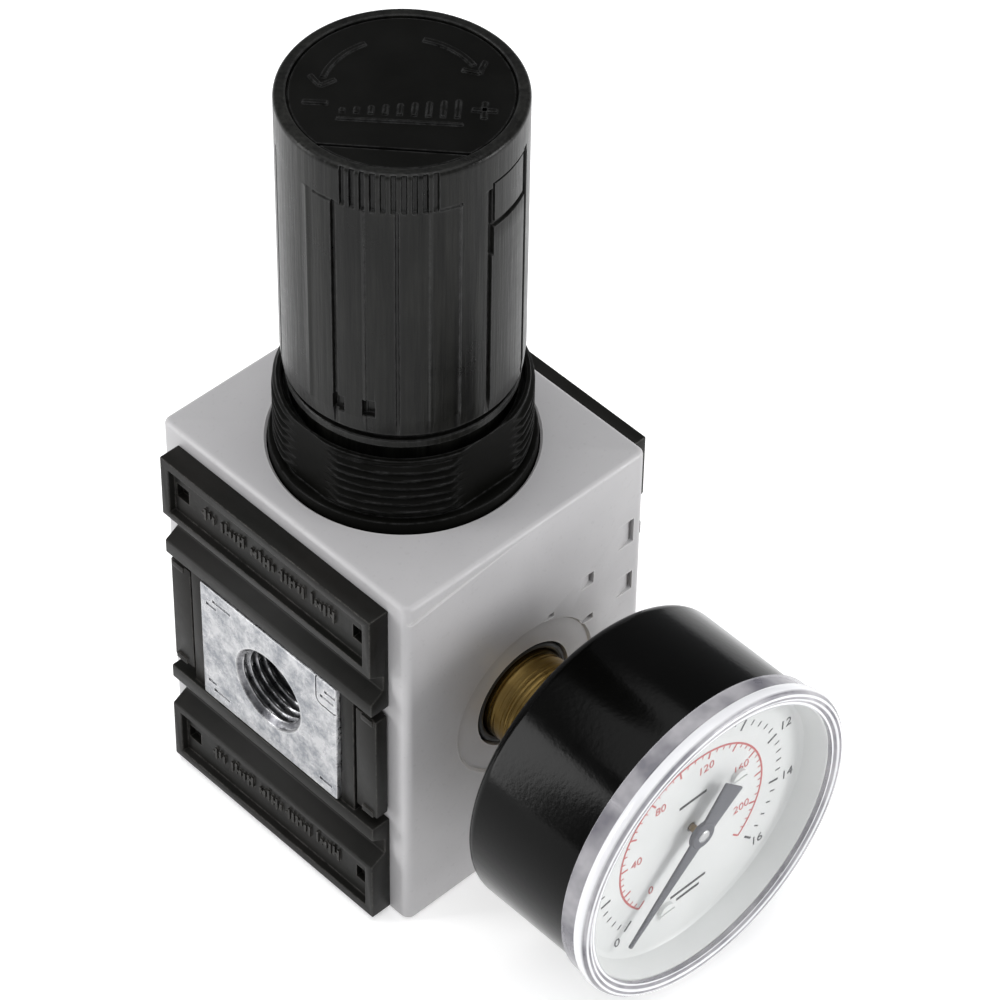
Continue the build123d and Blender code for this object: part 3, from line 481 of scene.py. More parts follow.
def step_relief_and_painted_light_rings(look, spacing):
    """0 to 1 and back over every spacing, outwards from the gauge's axis."""
    centre = look.node("ShaderNodeVectorMath", operation="SUBTRACT")
    look.link(look.place, centre.inputs[0])
    centre.inputs[1].default_value = (0.0, 0.0, PORT_Z * 0.001)
    flat = look.node("ShaderNodeVectorMath", operation="MULTIPLY")
    look.link(centre.outputs["Vector"], flat.inputs[0])
    flat.inputs[1].default_value = (1.0, 0.0, 1.0)
    radius = look.node("ShaderNodeVectorMath", operation="LENGTH")
    look.link(flat.outputs["Vector"], radius.inputs[0])
    wave = look.sums("SINE", look.sums("MULTIPLY", radius.outputs["Value"], tau / spacing), 0.0)
    return look.span(wave, -0.3, 0.55)


def clear_rim():
    """Clear polycarbonate rim: painted light, white and grey rings in its colour that stand in for
    light piped through its steps.
    """
    look = Look("clear_polycarbonate_rim")
    rings = step_relief_and_painted_light_rings(look, 0.00074)
    smear = look.noise(150.0, 3.0)
    shade = look.blend(look.span(smear, 0.35, 0.65), (0.15, 0.145, 0.17), (0.42, 0.41, 0.43))
    # painted light and shade: the ring wave blends a painted grey shade into painted white light
    look.colour(look.blend(rings, shade, (0.84, 0.84, 0.86)))
    look.link(look.span(rings, 0.0, 1.0, 0.72, 0.93), look.shader.inputs["Alpha"])
    look.rough(look.span(smear, 0.3, 0.7, 0.06, 0.14))
    look.bump((rings, 0.25, 0.0001), (look.noise(60.0, 2.0), 0.02, 0.0003))
    return look.material


def clear_plastic(name, face_on, grazing, haze, tone):
    """Clear polycarbonate: see-through face on, milky where it turns away."""
    look = Look(name)
    facing = look.node("ShaderNodeLayerWeight")
    facing.inputs["Blend"].default_value = 0.35
    smear = look.noise(240.0, 3.0)
    cover = look.span(facing.outputs["Facing"], 0.0, 1.0, face_on, grazing)
    look.link(look.sums("ADD", cover, look.span(smear, 0.45, 0.8, 0.0, haze)),
              look.shader.inputs["Alpha"])
    look.colour(look.blend(look.span(smear, 0.3, 0.7), (tone, tone, tone * 1.02),
                           (tone * 1.1, tone * 1.1, tone * 1.13)))
    look.rough(look.span(smear, 0.3, 0.7, 0.03, 0.08))
    look.bump((look.noise(60.0, 2.0), 0.02, 0.0003))
    return look.material


def printed(name, dark, light):
    """Ink with slightly uneven cover."""
    look = Look(name)
    cover = look.noise(2600.0, 3.0, 0.6)
    look.colour(look.blend(look.span(cover, 0.3, 0.7), dark, light))
    look.rough(look.span(cover, 0.3, 0.7, 0.42, 0.6))
    return look.material


def dial_paint():
    """White stoved enamel with a trace of orange peel."""
    look = Look("dial_white_enamel")
    cloud = look.noise(120.0, 4.0)
    look.colour(look.blend(look.span(cloud, 0.3, 0.7), (0.68, 0.695, 0.685), (0.74, 0.75, 0.74)))
    look.rough(look.span(cloud, 0.3, 0.7, 0.3, 0.42))
    look.bump((look.noise(1200.0, 2.0), 0.06, 0.00004))
    return look.material


zinc = cast_metal("machined_zinc_casting", (0.24, 0.25, 0.27), (0.53, 0.53, 0.54))
# painted shade: a darker copy of the machined zinc for the thread lining deep inside the ports
shaded_thread_zinc = cast_metal("cut_zinc_threads_painted_shade", (0.10, 0.10, 0.11), (0.26, 0.26, 0.27))
grey = housing_grey()
frame_black = moulded_plastic("frame_black_nylon", (0.006, 0.006, 0.005), (0.011, 0.010, 0.009),
                              0.34, 0.5, edge=(0.09, 0.086, 0.08), edge_share=0.85, shine=0.13)
bonnet_black = moulded_plastic("bonnet_black_acetal", (0.0016, 0.0016, 0.0012),
                               (0.003, 0.003, 0.0024), 0.34, 0.48, shine=0.05)
knob_black = moulded_plastic("knob_black_nylon", (0.004, 0.004, 0.0034), (0.0075, 0.0075, 0.0066),
                             0.24, 0.38, streaks=True, shine=0.17)
# painted shade: a darker, duller copy of the knob's black, so the knob's top face reads darker than
# its sides
shaded_cap_black = moulded_plastic("cap_black_nylon_painted_shade", (0.0025, 0.0025, 0.0021), (0.005, 0.005, 0.0045),
                            0.3, 0.44, shine=0.06)
gauge_black = moulded_plastic("gauge_black_enamel", (0.0011, 0.0011, 0.001),
                              (0.0018, 0.0018, 0.0016), 0.12, 0.18, grain=1500.0,
                              edge=(0.03, 0.03, 0.03), edge_share=0.3, shine=0.09)
pointer_grey = printed("pointer_grey_enamel", (0.05, 0.053, 0.066), (0.08, 0.084, 0.1))
black_ink = printed("dial_black_ink", (0.01, 0.01, 0.012), (0.03, 0.03, 0.035))
red_ink = printed("dial_red_ink", (0.45, 0.06, 0.06), (0.55, 0.13, 0.12))
white_enamel = dial_paint()
window_clear = clear_plastic("clear_polycarbonate", 0.03, 0.16, 0.02, 0.35)
rim_clear = clear_rim()
seal_rubber = rubber()
brass = turned_metal("turned_brass", (0.20, 0.12, 0.025), (0.66, 0.46, 0.16), 0.07, 0.2)
steel = turned_metal("zinc_plated_steel", (0.45, 0.46, 0.47), (0.66, 0.66, 0.65), 0.2, 0.38)
aluminium = turned_metal("turned_aluminium", (0.62, 0.63, 0.64), (0.78, 0.78, 0.79), 0.22, 0.4)


# ------------------------ housing and block
def housing_cover():
    """Grey cover: rounded edges, side windows, gauge pads, notches and mould crease."""
    half_w, half_d = HOUSING[0] / 2, HOUSING[1] / 2
    rings = []
    edge, corner = 0.8, 1.3
    levels = [(0.25, 0.0), (0.0, 0.25), (0.0, HOUSING[2] - edge)]
    levels += [(edge * (1 - cos(t)), HOUSING[2] - edge * (1 - sin(t)))
               for t in (radians(d) for d in (22.5, 45.0, 67.5, 90.0))]
    for inset, height in levels:
        outline = rounded_box(half_w - inset, half_d - inset, corner - inset)
        rings.append([(u, v, height) for u, v in outline])
    cover = close_ends(skin("cover", rings, False), len(rings[0]))
    wall = 2.2
    cuts = [prism("room", rounded_box(half_w - wall, half_d - wall, 1.0), -1.0,
                  HOUSING[2] - wall)]
    cuts.append(turned("mouth", [(0, 60.0), (18.9, 60.0), (18.9, HOUSING[2] - 0.35),
                                 (19.3, HOUSING[2] + 0.05), (19.3, 67.0), (0, 67.0)],
                       loop=False))
    cuts.append(prism("windows", rounded_box(14.4, 11.7, 0.4), -30.0, 30.0, flank(1)))
    for sign in (-1, 1):
        near, deep = sign * (half_d + 1.0), sign * (half_d - 0.4)
        cuts.append(turned("pad", [(0, near), (13.0, near), (13.0, sign * half_d),
                                   (12.7, deep), (0, deep)], front, loop=False))
        cuts.append(turned("port", [(0, near), (8.9, near), (8.7, sign * (half_d - 0.6)),
                                    (8.7, sign * 20.0), (0, sign * 20.0)], front, loop=False))
    for left, deep, foot, top in NOTCHES:
        ramp = [(left, -half_d), (left, -half_d - 0.5), (deep, -half_d - 0.5),
                (deep, 0.7 - half_d)]
        cuts.append(prism("notch", ramp, foot, top))
    # crease of the mould below the top edge, deepest at the inlet corner
    deep, thin = 0.42, 0.01
    left = [(-23.0, -half_d - 0.1, 61.95), (-23.0, -half_d - 0.1, 60.95),
            (-23.0, -half_d + deep, 61.6)]
    right = [(2.0, -half_d - 0.1, 64.1), (2.0, -half_d - 0.1, 63.9), (2.0, -half_d + thin, 64.0)]
    cuts.append(add("crease", left + right,
                    [(0, 1, 2), (3, 4, 5), (0, 1, 4, 3), (1, 2, 5, 4), (2, 0, 3, 5)]))
    carve(cover, cuts)
    facet(cover)
    settle(cover, "housing_cover", "housing", grey, ["housing_shell"])


def port_sleeve(start, stop, place):
    """Threaded lining of a port, from the countersink inwards."""
    steps, rows = 96, 110
    mouth_r, bore_r, back_r = 6.8, 6.78, 6.95
    rings = []
    for i in range(rows + 1):
        depth = start - (start - stop) * i / rows
        ring = []
        for k in range(steps):
            turn = tau * k / steps
            cut = thread_r(turn, depth, G14_MAJOR, G14_MINOR, G14_PITCH)
            sunk = mouth_r - (start - depth)
            r = min(max(cut, sunk), bore_r)
            ring.append(place(r * cos(turn), r * sin(turn), depth))
        rings.append(ring)
    for depth in (stop, start - 0.03):
        rings.append([place(back_r * cos(tau * k / steps), back_r * sin(tau * k / steps), depth)
                      for k in range(steps)])
    return skin("sleeve", rings)


def cast_body():
    """Zinc block with the machined port faces, bored and threaded."""
    block = prism("block", rounded_box(BLOCK[0] / 2, BLOCK[1] / 2, 1.0), 0.6, BLOCK[2])
    bores = [turned("plug_bore", [(0, -1.0), (11.0, -1.0), (11.0, 13.0), (9.0, 13.0),
                                  (9.0, 26.0), (4.8, 26.0), (4.8, 29.0), (7.5, 29.0),
                                  (7.5, 41.0), (1.6, 41.0), (1.6, 43.0), (15.5, 43.0),
                                  (15.5, 47.0), (0, 47.0)], loop=False, steps=72)]
    for sign in (-1, 1):
        bores.append(turned("gauge_bore", [(0, sign * 10.5), (5.75, sign * 10.5),
                                           (5.75, sign * 24.0), (0, sign * 24.0)],
                            front, loop=False, steps=72))
    boss = slab("boss", (-PORT_FACE, -14.2, PORT_Z - 11.5), (PORT_FACE, 14.2, PORT_Z + 11.5))
    soften(boss, 0.35)
    profile = [(0, 12.5), (6.85, 12.5), (6.85, 30.0), (0, 30.0)]
    for part in (block, boss):
        carve(part, [turned("bore", profile, flank(sign), loop=False, steps=96)
                     for sign in (-1, 1)])
    carve(block, bores)
    column = turned("column", [(0, 10.0), (9.0, 10.0), (9.0, 26.0), (4.8, 26.0), (4.8, 29.0),
                               (7.5, 29.0), (7.5, 50.0), (0, 50.0)], loop=False, steps=72)
    carve(boss, [column])
    # pad in the upper corner of each face, outlined by a fine groove
    for sign in (-1, 1):
        path = [(-14.4, 6.4), (-11.2, 6.4), (-10.5, 6.7), (-10.2, 7.4), (-10.2, 11.8)]
        carve(boss, [stroke("pad", path, 0.3, PORT_FACE - 0.3, PORT_FACE + 0.5, flank(sign))])
    carve(boss, [face_marks()])
    piece = merge("cast", [block, boss])
    settle(piece, "cast_body", "housing", zinc, ["body_block"])
    for sign, side in ((-1, "inlet"), (1, "outlet")):
        sleeve = port_sleeve(PORT_FACE - 0.02, 12.6, flank(sign))
        settle(sleeve, side + "_port_thread", "housing", shaded_thread_zinc)


def face_marks():
    """Generic sunk bars for three corners of each machined face."""
    parts = []
    for sign in (-1, 1):
        for u, v, long in ((-13.0, 9.6, 1.1), (-12.4, 8.2, 1.4), (9.6, 9.4, 1.9), (11.8, 8.1, 1.1),
                           (10.2, -9.3, 1.7), (12.2, -8.0, 0.9), (-11.9, -9.4, 1.3)):
            parts.append(prism("bar", box_outline(u - long, u + long, v - 0.28, v + 0.28),
                               PORT_FACE - 0.25, PORT_FACE + 0.5, flank(sign)))
    return merge("marks", parts)


# ------------------------ coupling frames
def coupling_frame(sign, name, node):
    """Black frame: two dovetailed end blocks with troughs, and two posts with latches."""
    wall, depth = HOUSING[0] / 2, 21.45

    def block(low_y, high_y, low_z, high_z, low_w, high_w, round_off=0.0):
        solid = prism("solid", box_outline(low_y, high_y, low_z, high_z), wall + low_w,
                      wall + high_w, flank(sign))
        return soften(solid, round_off) if round_off else solid

    parts = []
    for s in (-1, 1):
        outline = [(0.0, 30.9), (3.5, 30.9), (3.5, 19.85), (1.0, 18.45), (1.0, 15.65),
                   (3.3, 14.25), (3.3, 11.8), (0.0, 11.8)]
        end = prism("end", [(u, s * v) for u, v in outline], -depth, depth,
                    lambda u, v, w: (sign * (wall + u), w, v + PORT_Z))
        low, high = sorted((s * 21.05, s * 29.3))
        carve(end, [block(-19.85, 19.85, low, high, 2.3, 5.0)])
        soften(end, 0.2)
        low, high = sorted((s * 23.9, s * 26.5))
        carve(end, [block(*sorted((t * 16.85, t * 19.4)), low, high, 1.2, 3.0)
                      for t in (-1, 1)])
        parts.append(end)
    for t in (-1, 1):
        # inner strip beside the window, spring latch, and the web that joins them
        step = 0.5 if t > 0 else 0.0
        parts.append(block(*sorted((t * 14.35, t * 16.95)), -11.9, 11.9, 0.0, 2.6, 0.18))
        parts.append(block(*sorted((t * (13.85 - step), t * 14.6)), -11.9, -5.7, 0.0, 2.55,
                           0.12))
        parts.append(block(*sorted((t * 17.3, t * 21.45)), -10.05, 10.05, 0.3, 2.5, 0.25))
        parts.append(block(*sorted((t * 16.5, t * 17.9)), -9.8, 9.8, 0.0, 1.2))
        for s in (-1, 1):
            # clip tabs reach into the housing wall; hooks stand on the latches
            parts.append(block(*sorted((t * 15.95, t * 19.95)), *sorted((s * 22.1, s * 24.7)),
                               -2.0, 0.2))
            parts.append(block(*sorted((t * 18.6, t * 20.9)), *sorted((s * 9.0, s * 10.05)),
                               2.3, 2.75, 0.12))
    parts += trough_marks(sign, wall)
    settle(merge("frame", parts), name, "housing", frame_black, [node])


def trough_marks(sign, wall):
    """Generic raised dashes along both troughs, in groups of short bars."""
    parts = []
    tall = (1.05, 0.7, 0.95, 0.6, 1.05)
    first, pitch, trough = -13.2, 0.88, 25.0
    for s in (-1, 1):
        for k in range(31):
            if k % 7 == 6:
                continue
            y = first + pitch * k
            half = tall[(k * 2) % 5]
            mid = s * trough + (0.35 if k % 4 == 1 else 0.0)
            parts.append(prism("bar", box_outline(y - 0.2, y + 0.2, mid - half, mid + half),
                               wall + 2.2, wall + 2.62, flank(sign)))
            if k % 3 == 0:
                parts.append(prism("dash", box_outline(y, y + 0.7, mid - 0.2, mid + 0.2),
                                   wall + 2.2, wall + 2.6, flank(sign)))
    return parts


# ------------------------ bonnet and knob
def threaded_bonnet():
    """Collar with the panel thread on its four diagonals, neck and flange."""
    low, high = 66.2, 76.9
    root_r, crest_r = 17.35, 18.0
    edges = [90.0 * k + s * (17.7, 22.0)[k % 2] for k in range(5) for s in (-1, 1)]
    turns = [radians(a) for a in stations(0.0, 360.0, 2.0, edges, 0.8)][:-1]

    def ring(r, height):
        return [(r * cos(a), r * sin(a), height) for a in turns]

    def thread_ring(height):
        points = []
        fade = min(1.0, (height - low) / 0.6, (high - height) / 0.9)
        for a in turns:
            r = thread_r(a, height, crest_r, root_r, PANEL_PITCH)
            r = root_r + (r - root_r) * max(fade, 0.0)
            r = min(r, 17.1 / max(abs(cos(a)), 0.1), 16.75 / max(abs(sin(a)), 0.1))
            points.append((r * cos(a), r * sin(a), height))
        return points

    rings = [ring(18.0, 50.2), ring(18.0, 62.5), ring(18.7, 62.5), ring(18.7, 65.8),
             ring(18.55, 66.1), ring(18.3, 66.2), ring(17.4, 66.2)]
    rows = 96
    rings += [thread_ring(low + (high - low) * (k + 0.5) / rows) for k in range(rows)]
    rings += [ring(r, z) for r, z in (
        (16.85, 76.9), (16.6, 76.75), (16.5, 76.5), (16.5, 75.5), (16.4, 75.4), (15.8, 75.4),
        (15.7, 75.3), (15.7, 70.0), (14.2, 70.0), (14.2, 111.1), (13.8, 111.5), (5.1, 111.5),
        (5.1, 108.0), (13.2, 108.0), (13.2, 62.0), (15.5, 62.0), (15.5, 47.2), (18.0, 47.2))]
    tower = skin("tower", rings)
    flange = prism("flange", rounded_box(BLOCK[0] / 2, BLOCK[1] / 2, 1.0), 47.2, 50.2)
    holes = [turned("hole", [(0, 40.0), (17.0, 40.0), (17.0, 60.0), (0, 60.0)], loop=False)]
    for sx in (-1, 1):
        for sy in (-1, 1):
            holes.append(turned("screw_hole", [(0, 40.0), (2.25, 40.0), (2.25, 60.0), (0, 60.0)],
                                lambda u, v, w: (u + sx * 16.2, v + sy * 18.7, w), 32, False))
    carve(flange, holes)
    settle(merge("bonnet", [tower, flange]), "threaded_bonnet", "housing",
           bonnet_black, ["bonnet"], 28.0)


RIDGES = (-180.0, -150.0, -120.0, -106.0)
GROOVES = ((-165.0, 1.1, 0.5), (-135.0, 0.7, 0.25), (-90.0, 1.2, 0.55), (-60.0, 1.5, 0.6),
           (-30.0, 0.7, 0.3))
SERRATIONS = [-160.2 + 4.75 * k for k in range(10)]


def knob_depth(phi, height):
    """How far the knob's wall lies under its full radius, for one half of the knob."""
    depth = 0.0
    plank = gate(height, 80.0, 121.0, 0.3)
    for place, half, sunk in GROOVES:
        depth = max(depth, plank * sunk * gate(phi, place - half, place + half, 0.5))
    low_rim = gate(height, 120.8, 127.1, 0.35)
    for place in SERRATIONS:
        depth = max(depth, low_rim * 0.5 * gate(phi, place - 1.1, place + 1.1, 0.7))
    ledge = gate(height, 120.65, 121.05, 0.2) * 0.22
    depth = max(depth, ledge * gate(phi, -176.0, -164.5, 0.6))
    depth = max(depth, ledge * gate(phi, -116.0, -105.0, 0.6))
    # snap finger: outline of the upper panel, dark slots below and beside it
    around = gate(phi, -88.4, -61.0, 0.5) * gate(height, 114.6, 121.9, 0.25)
    inside = gate(phi, -86.9, -62.8, 0.5) * gate(height, 115.0, 121.5, 0.25)
    depth = max(depth, 0.45 * around * (1 - inside), 0.12 * around)
    depth = max(depth, 0.7 * gate(phi, -62.6, -59.2, 0.5) * gate(height, 114.6, 122.2, 0.3))
    depth = max(depth, 0.7 * gate(phi, -90.6, -87.6, 0.5) * gate(height, 109.4, 114.8, 0.3))
    depth = max(depth, 0.6 * gate(phi, -90.0, -60.0, 0.5) * gate(height, 114.2, 114.8, 0.2))
    # two small windows near the foot
    depth = max(depth, 0.9 * gate(phi, -166.4, -160.6, 0.5) * gate(height, 83.7, 86.3, 0.25))
    depth = max(depth, 0.9 * gate(phi, -151.4, -145.6, 0.5) * gate(height, 84.1, 86.9, 0.25))
    for place in RIDGES:
        depth -= plank * 0.14 * gate(phi, place - 0.45, place + 0.45, 0.4)
    return depth


def grip_knob():
    """Knob: planks and ribs, serrated rim, snap fingers, lip ring and hollow skirt."""
    edges = list(RIDGES)
    for place, half, _ in GROOVES:
        edges += [place - half, place + half]
    for place in SERRATIONS:
        edges += [place - 1.1, place + 1.1]
    edges += [-176.0, -164.5, -116.0, -105.0, -88.4, -86.9, -62.8, -61.0, -90.6, -87.6,
              -62.6, -59.2, -166.4, -160.6, -151.4, -145.6]
    half_turn = stations(-199.0, -19.0, 2.5, edges, 0.5)[:-1]
    angles = half_turn + [a + 180.0 for a in half_turn]
    levels = stations(80.9, 126.5, 3.0, (83.7, 84.1, 86.3, 86.9, 109.4, 114.2, 114.6, 115.0,
                                         120.65, 120.8, 121.05, 121.5, 121.9, 122.2, 126.1),
                      0.3)

    def ring(r, height, carved=False):
        points = []
        for k, angle in enumerate(angles):
            here = r
            if carved:
                own = angle if k < len(half_turn) else angle - 180.0
                here -= knob_depth(own, height)
            points.append((here * cos(radians(angle)), here * sin(radians(angle)), height))
        return points

    rings = [ring(14.55, 73.6), ring(15.1, 73.6), ring(15.3, 73.8), ring(15.3, 78.2),
             ring(16.0, 78.2), ring(16.15, 78.35), ring(16.15, 79.35), ring(16.0, 79.5),
             ring(15.3, 79.5), ring(15.3, 80.9), ring(16.45, 80.9)]
    rings += [ring(KNOB_R, z, True) for z in levels if z > 81.05]
    for t in (20.0, 40.0, 60.0, 80.0, 90.0):
        rings.append(ring(KNOB_R - 0.7 * (1 - cos(radians(t))),
                          KNOB_TOP - 0.7 * (1 - sin(radians(t))), t < 50.0))
    rings += [ring(r, z) for r, z in (
        (15.12, 127.2), (15.0, 127.08), (15.0, 124.7), (13.0, 124.7), (13.0, 118.0),
        (4.75, 118.0), (4.75, 114.0), (15.2, 114.0), (15.2, 101.5), (14.55, 100.8))]
    settle(skin("knob", rings), "grip_knob", "knob", knob_black, ["knob"], 38.0)


def top_cap():
    """Cap in the knob's top with a chord line and generic less, more and turning marks."""
    face = 126.92
    cap = turned("cap", [(0, 124.7), (14.9, 124.7), (14.9, face - 0.25), (14.65, face),
                         (0, face)], loop=False)
    chord = stroke("chord", [(-15.6, 0.8), (-0.9, -15.7)], 0.42, face - 0.5, face + 1.0)
    carve(cap, [chord])
    parts = [cap]

    def raised(path, width):
        mark = stroke("mark", path, width, face - 0.1, KNOB_TOP - 0.02)
        parts.append(soften(mark, 0.06, 1))

    across, upward = Vector((0.68, -0.733)), Vector((0.733, 0.68))

    def spot(u, v):
        point = Vector((-2.1, -2.0)) + across * u + upward * v
        return (point.x, point.y)

    raised([spot(-12.6, 0.0), spot(-9.4, 0.0)], 0.7)
    raised([spot(9.2, 0.0), spot(12.4, 0.0)], 0.7)
    raised([spot(10.8, -1.6), spot(10.8, 1.6)], 0.7)
    for k in range(9):
        u = -7.4 + 1.85 * k
        raised([spot(u, -1.7), spot(u, -0.9 + 0.33 * k)], 0.6)
    raised([spot(-8.0, -2.9), spot(8.2, -2.9)], 0.45)
    for start, stop in ((32.0, -14.0), (74.0, 122.0)):
        path = arc((0, 0), 10.6, start, stop, 14)
        raised(path, 0.7)
        tip = arc((0, 0), 10.6, stop, stop + (9.0 if stop > start else -9.0), 1)[-1]
        for r in (8.9, 12.3):
            raised([arc((0, 0), r, stop, stop, 1)[0], tip], 0.6)
    settle(merge("cap", parts), "knob_top_cap", "knob", shaded_cap_black, ["knob_cap"])


# ------------------------ gauge
def gauge_shell():
    """Deep-drawn black case with a rolled back edge."""
    profile = [(7.05, CASE_BACK), (22.2, CASE_BACK)]
    profile += arc((22.3, 40.1), 1.9, -90, 0, 6)
    profile += [(24.2, 60.5), (24.0, CASE_FRONT), (23.2, CASE_FRONT), (23.2, 40.2),
                (22.2, 39.2), (7.05, 39.2)]
    case = turned("case", profile, front, 192)
    settle(case, "gauge_shell", "housing", gauge_black, ["gauge_case"])


def gauge_lens():
    """Clear pressed-on window: flat disc, and a stepped rim that catches the light."""
    disc = turned("disc", [(0, 62.0), (22.9, 62.05), (22.9, 62.6), (0, 62.55)], front, 192,
                  False)
    settle(disc, "gauge_lens", "housing", window_clear, ["gauge_window"])
    disc.visible_shadow = False
    profile = [(22.9, 61.95), (23.6, 61.9), (24.0, 61.7), (24.26, 61.2), (24.26, 58.05),
               (24.75, 58.0), (24.9, 58.15), (24.9, 60.5), (25.15, 60.75), (25.3, 61.0),
               (25.3, 61.9), (25.15, 62.5), (24.8, 62.88), (24.3, 63.0), (23.8, 62.9),
               (23.45, 62.55), (23.2, 62.5), (22.9, 62.6)]
    rim = turned("rim", profile, front, 192)
    settle(rim, "gauge_lens_rim", "housing", rim_clear)
    rim.visible_shadow = False


def lettering(text, size, centre, low, high):
    """One number, printed upright on the dial."""
    curve = bpy.data.curves.new("number", "FONT")
    curve.body = text
    curve.size = size
    curve.align_x = "CENTER"
    curve.align_y = "CENTER"
    curve.extrude = (high - low) / 2
    curve.resolution_u = 3
    obj = bpy.data.objects.new("number", curve)
    scene.collection.objects.link(obj)
    graph = bpy.context.evaluated_depsgraph_get()
    mesh = bpy.data.meshes.new_from_object(obj.evaluated_get(graph))
    bpy.data.objects.remove(obj)
    number = bpy.data.objects.new("number", mesh)
    scene.collection.objects.link(number)
    for vertex in mesh.vertices:
        vertex.co = front(centre[0] + vertex.co.x, centre[1] + vertex.co.y,
                          (low + high) / 2 + vertex.co.z)
    return number


def scale_parts(count, minor, r_low, r_high, r_minor, width, low, high):
    """Tick strokes of one scale over the pointer's sweep."""
    parts = []
    for k in range(count * minor + 1):
        turn = radians(POINTER_ZERO - POINTER_SWEEP * k / (count * minor))
        major = k % minor == 0
        start = r_low if major else r_minor
        ends = [(r * cos(turn), r * sin(turn)) for r in (start, r_high)]
        parts.append(stroke("tick", ends, width if major else width * 0.6, low, high, front))
    return parts


def dial():
    """White dished dial with a black outer scale and a red inner one."""
    dish = turned("dish", [(0.8, 57.5), (23.1, 57.5), (23.15, 57.6), (23.15, 61.65),
                           (23.0, 61.8), (22.75, 61.8), (22.6, 61.65), (21.7, 58.4),
                           (21.3, 58.08), (20.9, DIAL_FACE), (0.8, DIAL_FACE)], front, 192)
    settle(dish, "dial_dish", "housing", white_enamel, ["gauge_dial"])
    low, high = 57.98, 58.04
    black = scale_parts(8, 5, 15.7, 17.5, 16.6, 0.36, low, high)
    for k in range(9):
        turn = radians(POINTER_ZERO - POINTER_SWEEP * k / 8)
        black.append(lettering(str(2 * k), 2.4, (19.4 * cos(turn), 19.4 * sin(turn)), low, high))
    for path in ([(-3.4, -12.6), (3.4, -12.6)], [(-2.2, -13.9), (2.2, -13.9)],
                 [(-2.6, 5.6), (2.6, 5.6)]):
        black.append(stroke("bar", path, 0.5, low, high, front))
    settle(merge("black", black), "dial_scale_black", "housing", black_ink)
    red = scale_parts(11, 4, 12.3, 13.7, 13.0, 0.3, low, high)
    sweep = arc((0, 0), 13.7, POINTER_ZERO, POINTER_ZERO - POINTER_SWEEP, 90)
    red.append(stroke("ring", sweep, 0.3, low, high + 0.005, front))
    for k in range(0, 12, 2):
        turn = radians(POINTER_ZERO - POINTER_SWEEP * k / 11)
        red.append(lettering(str(20 * k), 2.1, (10.6 * cos(turn), 10.6 * sin(turn)), low, high))
    settle(merge("red", red), "dial_scale_red", "housing", red_ink)


def needle():
    """Tapered pointer with a fan tail, hub disc and arbor cap."""
    turn = radians(POINTER_ZERO)

    def spun(points):
        return [(a * cos(turn) - b * sin(turn), a * sin(turn) + b * cos(turn))
                for a, b in points]

    outline = [(18.8, 0.32), (18.8, -0.32), (2.0, -1.25), (-1.5, -1.5), (-8.3, -2.3),
               (-8.3, 2.3), (-1.5, 1.5), (2.0, 1.25)]
    blade = prism("blade", spun(outline), 59.9, 60.3, front)
    soften(blade, 0.09)
    hub = turned("hub", [(0, 59.7), (2.2, 59.7), (2.2, 60.25), (2.0, 60.45), (0, 60.45)],
                 front, 64, False)
    piece = merge("needle", [blade, hub])
    settle(piece, "needle", "pointer", pointer_grey, ["gauge_pointer"])
    boss = turned("cap", [(0, 60.3), (1.0, 60.3), (1.0, 60.5), (0.85, 60.62), (0.3, 60.68),
                          (0, 60.68)], front, 48, False)
    settle(boss, "needle_cap", "pointer", steel)


def brass_stem():
    """Shank, turned neck, wrench square, collar and the socket block inside the case."""
    neck_r, tool_mark, rows = 7.2, 0.035, 70
    profile = [(2.0, 12.0), (5.2, 12.0), (5.66, 12.6), (5.66, 22.65), (6.9, 22.66)]
    for i in range(rows + 1):
        profile.append((neck_r - tool_mark * (i % 5 == 0), 22.7 + 11.4 * i / rows))
    profile += [(7.0, 36.0), (2.0, 36.0)]
    shank = turned("shank", profile, front, 120)
    square = prism("square", rounded_box(7.0, 7.0, 1.0), 34.2, CASE_BACK, front)
    soften(square, 0.3)
    collar = turned("collar", [(0, 38.1), (7.0, 38.1), (7.0, 39.2), (9.0, 39.2), (9.0, 39.8),
                               (0, 39.8)], front, 96, False)
    block = prism("block", box_outline(-4.5, 4.5, -4.5, 4.5), 39.7, 49.8, front)
    arm = prism("arm", box_outline(-3.0, 3.0, -17.3, -4.4), 39.7, 49.8, front)
    piece = merge("stem", [shank, square, collar, soften(block, 0.3), soften(arm, 0.3)])
    settle(piece, "brass_stem", "housing", brass, ["gauge_stem"], 30.0)


def stem_seal():
    """Round-edged rubber ring behind the gauge stem."""
    profile = [(7.32, 23.0), (7.6, 22.67), (8.1, 22.67), (8.4, 23.0), (8.4, 24.1),
               (8.2, 24.45), (7.85, 24.55), (7.5, 24.4), (7.32, 24.1)]
    ring = turned("seal", profile, front, 120)
    settle(ring, "stem_seal_ring", "housing", seal_rubber, ["gauge_stem_seal"])


# ------------------------ springs
def coil_spring(name, low, high, mean, wire, turns, steps_per_turn, body, node):
    """Round wire with closed ground ends."""
    rings = []
    sides, closed = 12, 0.8
    total = turns + 2 * closed
    count = int(total * steps_per_turn)
    for i in range(count + 1):
        t = total * i / count
        free = min(max((t - closed) / turns, 0.0), 1.0)
        lower, upper = min(t, closed), min(max(t - closed - turns, 0.0), closed)
        dead = lower / closed * 0.9 + upper / closed * 0.9
        z = low + wire + (high - low - 2 * wire - 1.8 * wire) * free + dead * wire
        a = tau * t
        centre = Vector((mean * cos(a), mean * sin(a), z))
        outward = Vector((cos(a), sin(a), 0.0))
        ring = []
        for k in range(sides):
            b = tau * k / sides
            point = centre + outward * (wire * cos(b)) + Vector((0, 0, wire * sin(b)))
            ring.append(tuple(point))
        rings.append(ring)
    spring = close_ends(skin("spring", rings, False), sides)
    piece = settle(spring, name, body, steel, [node])
    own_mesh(piece)


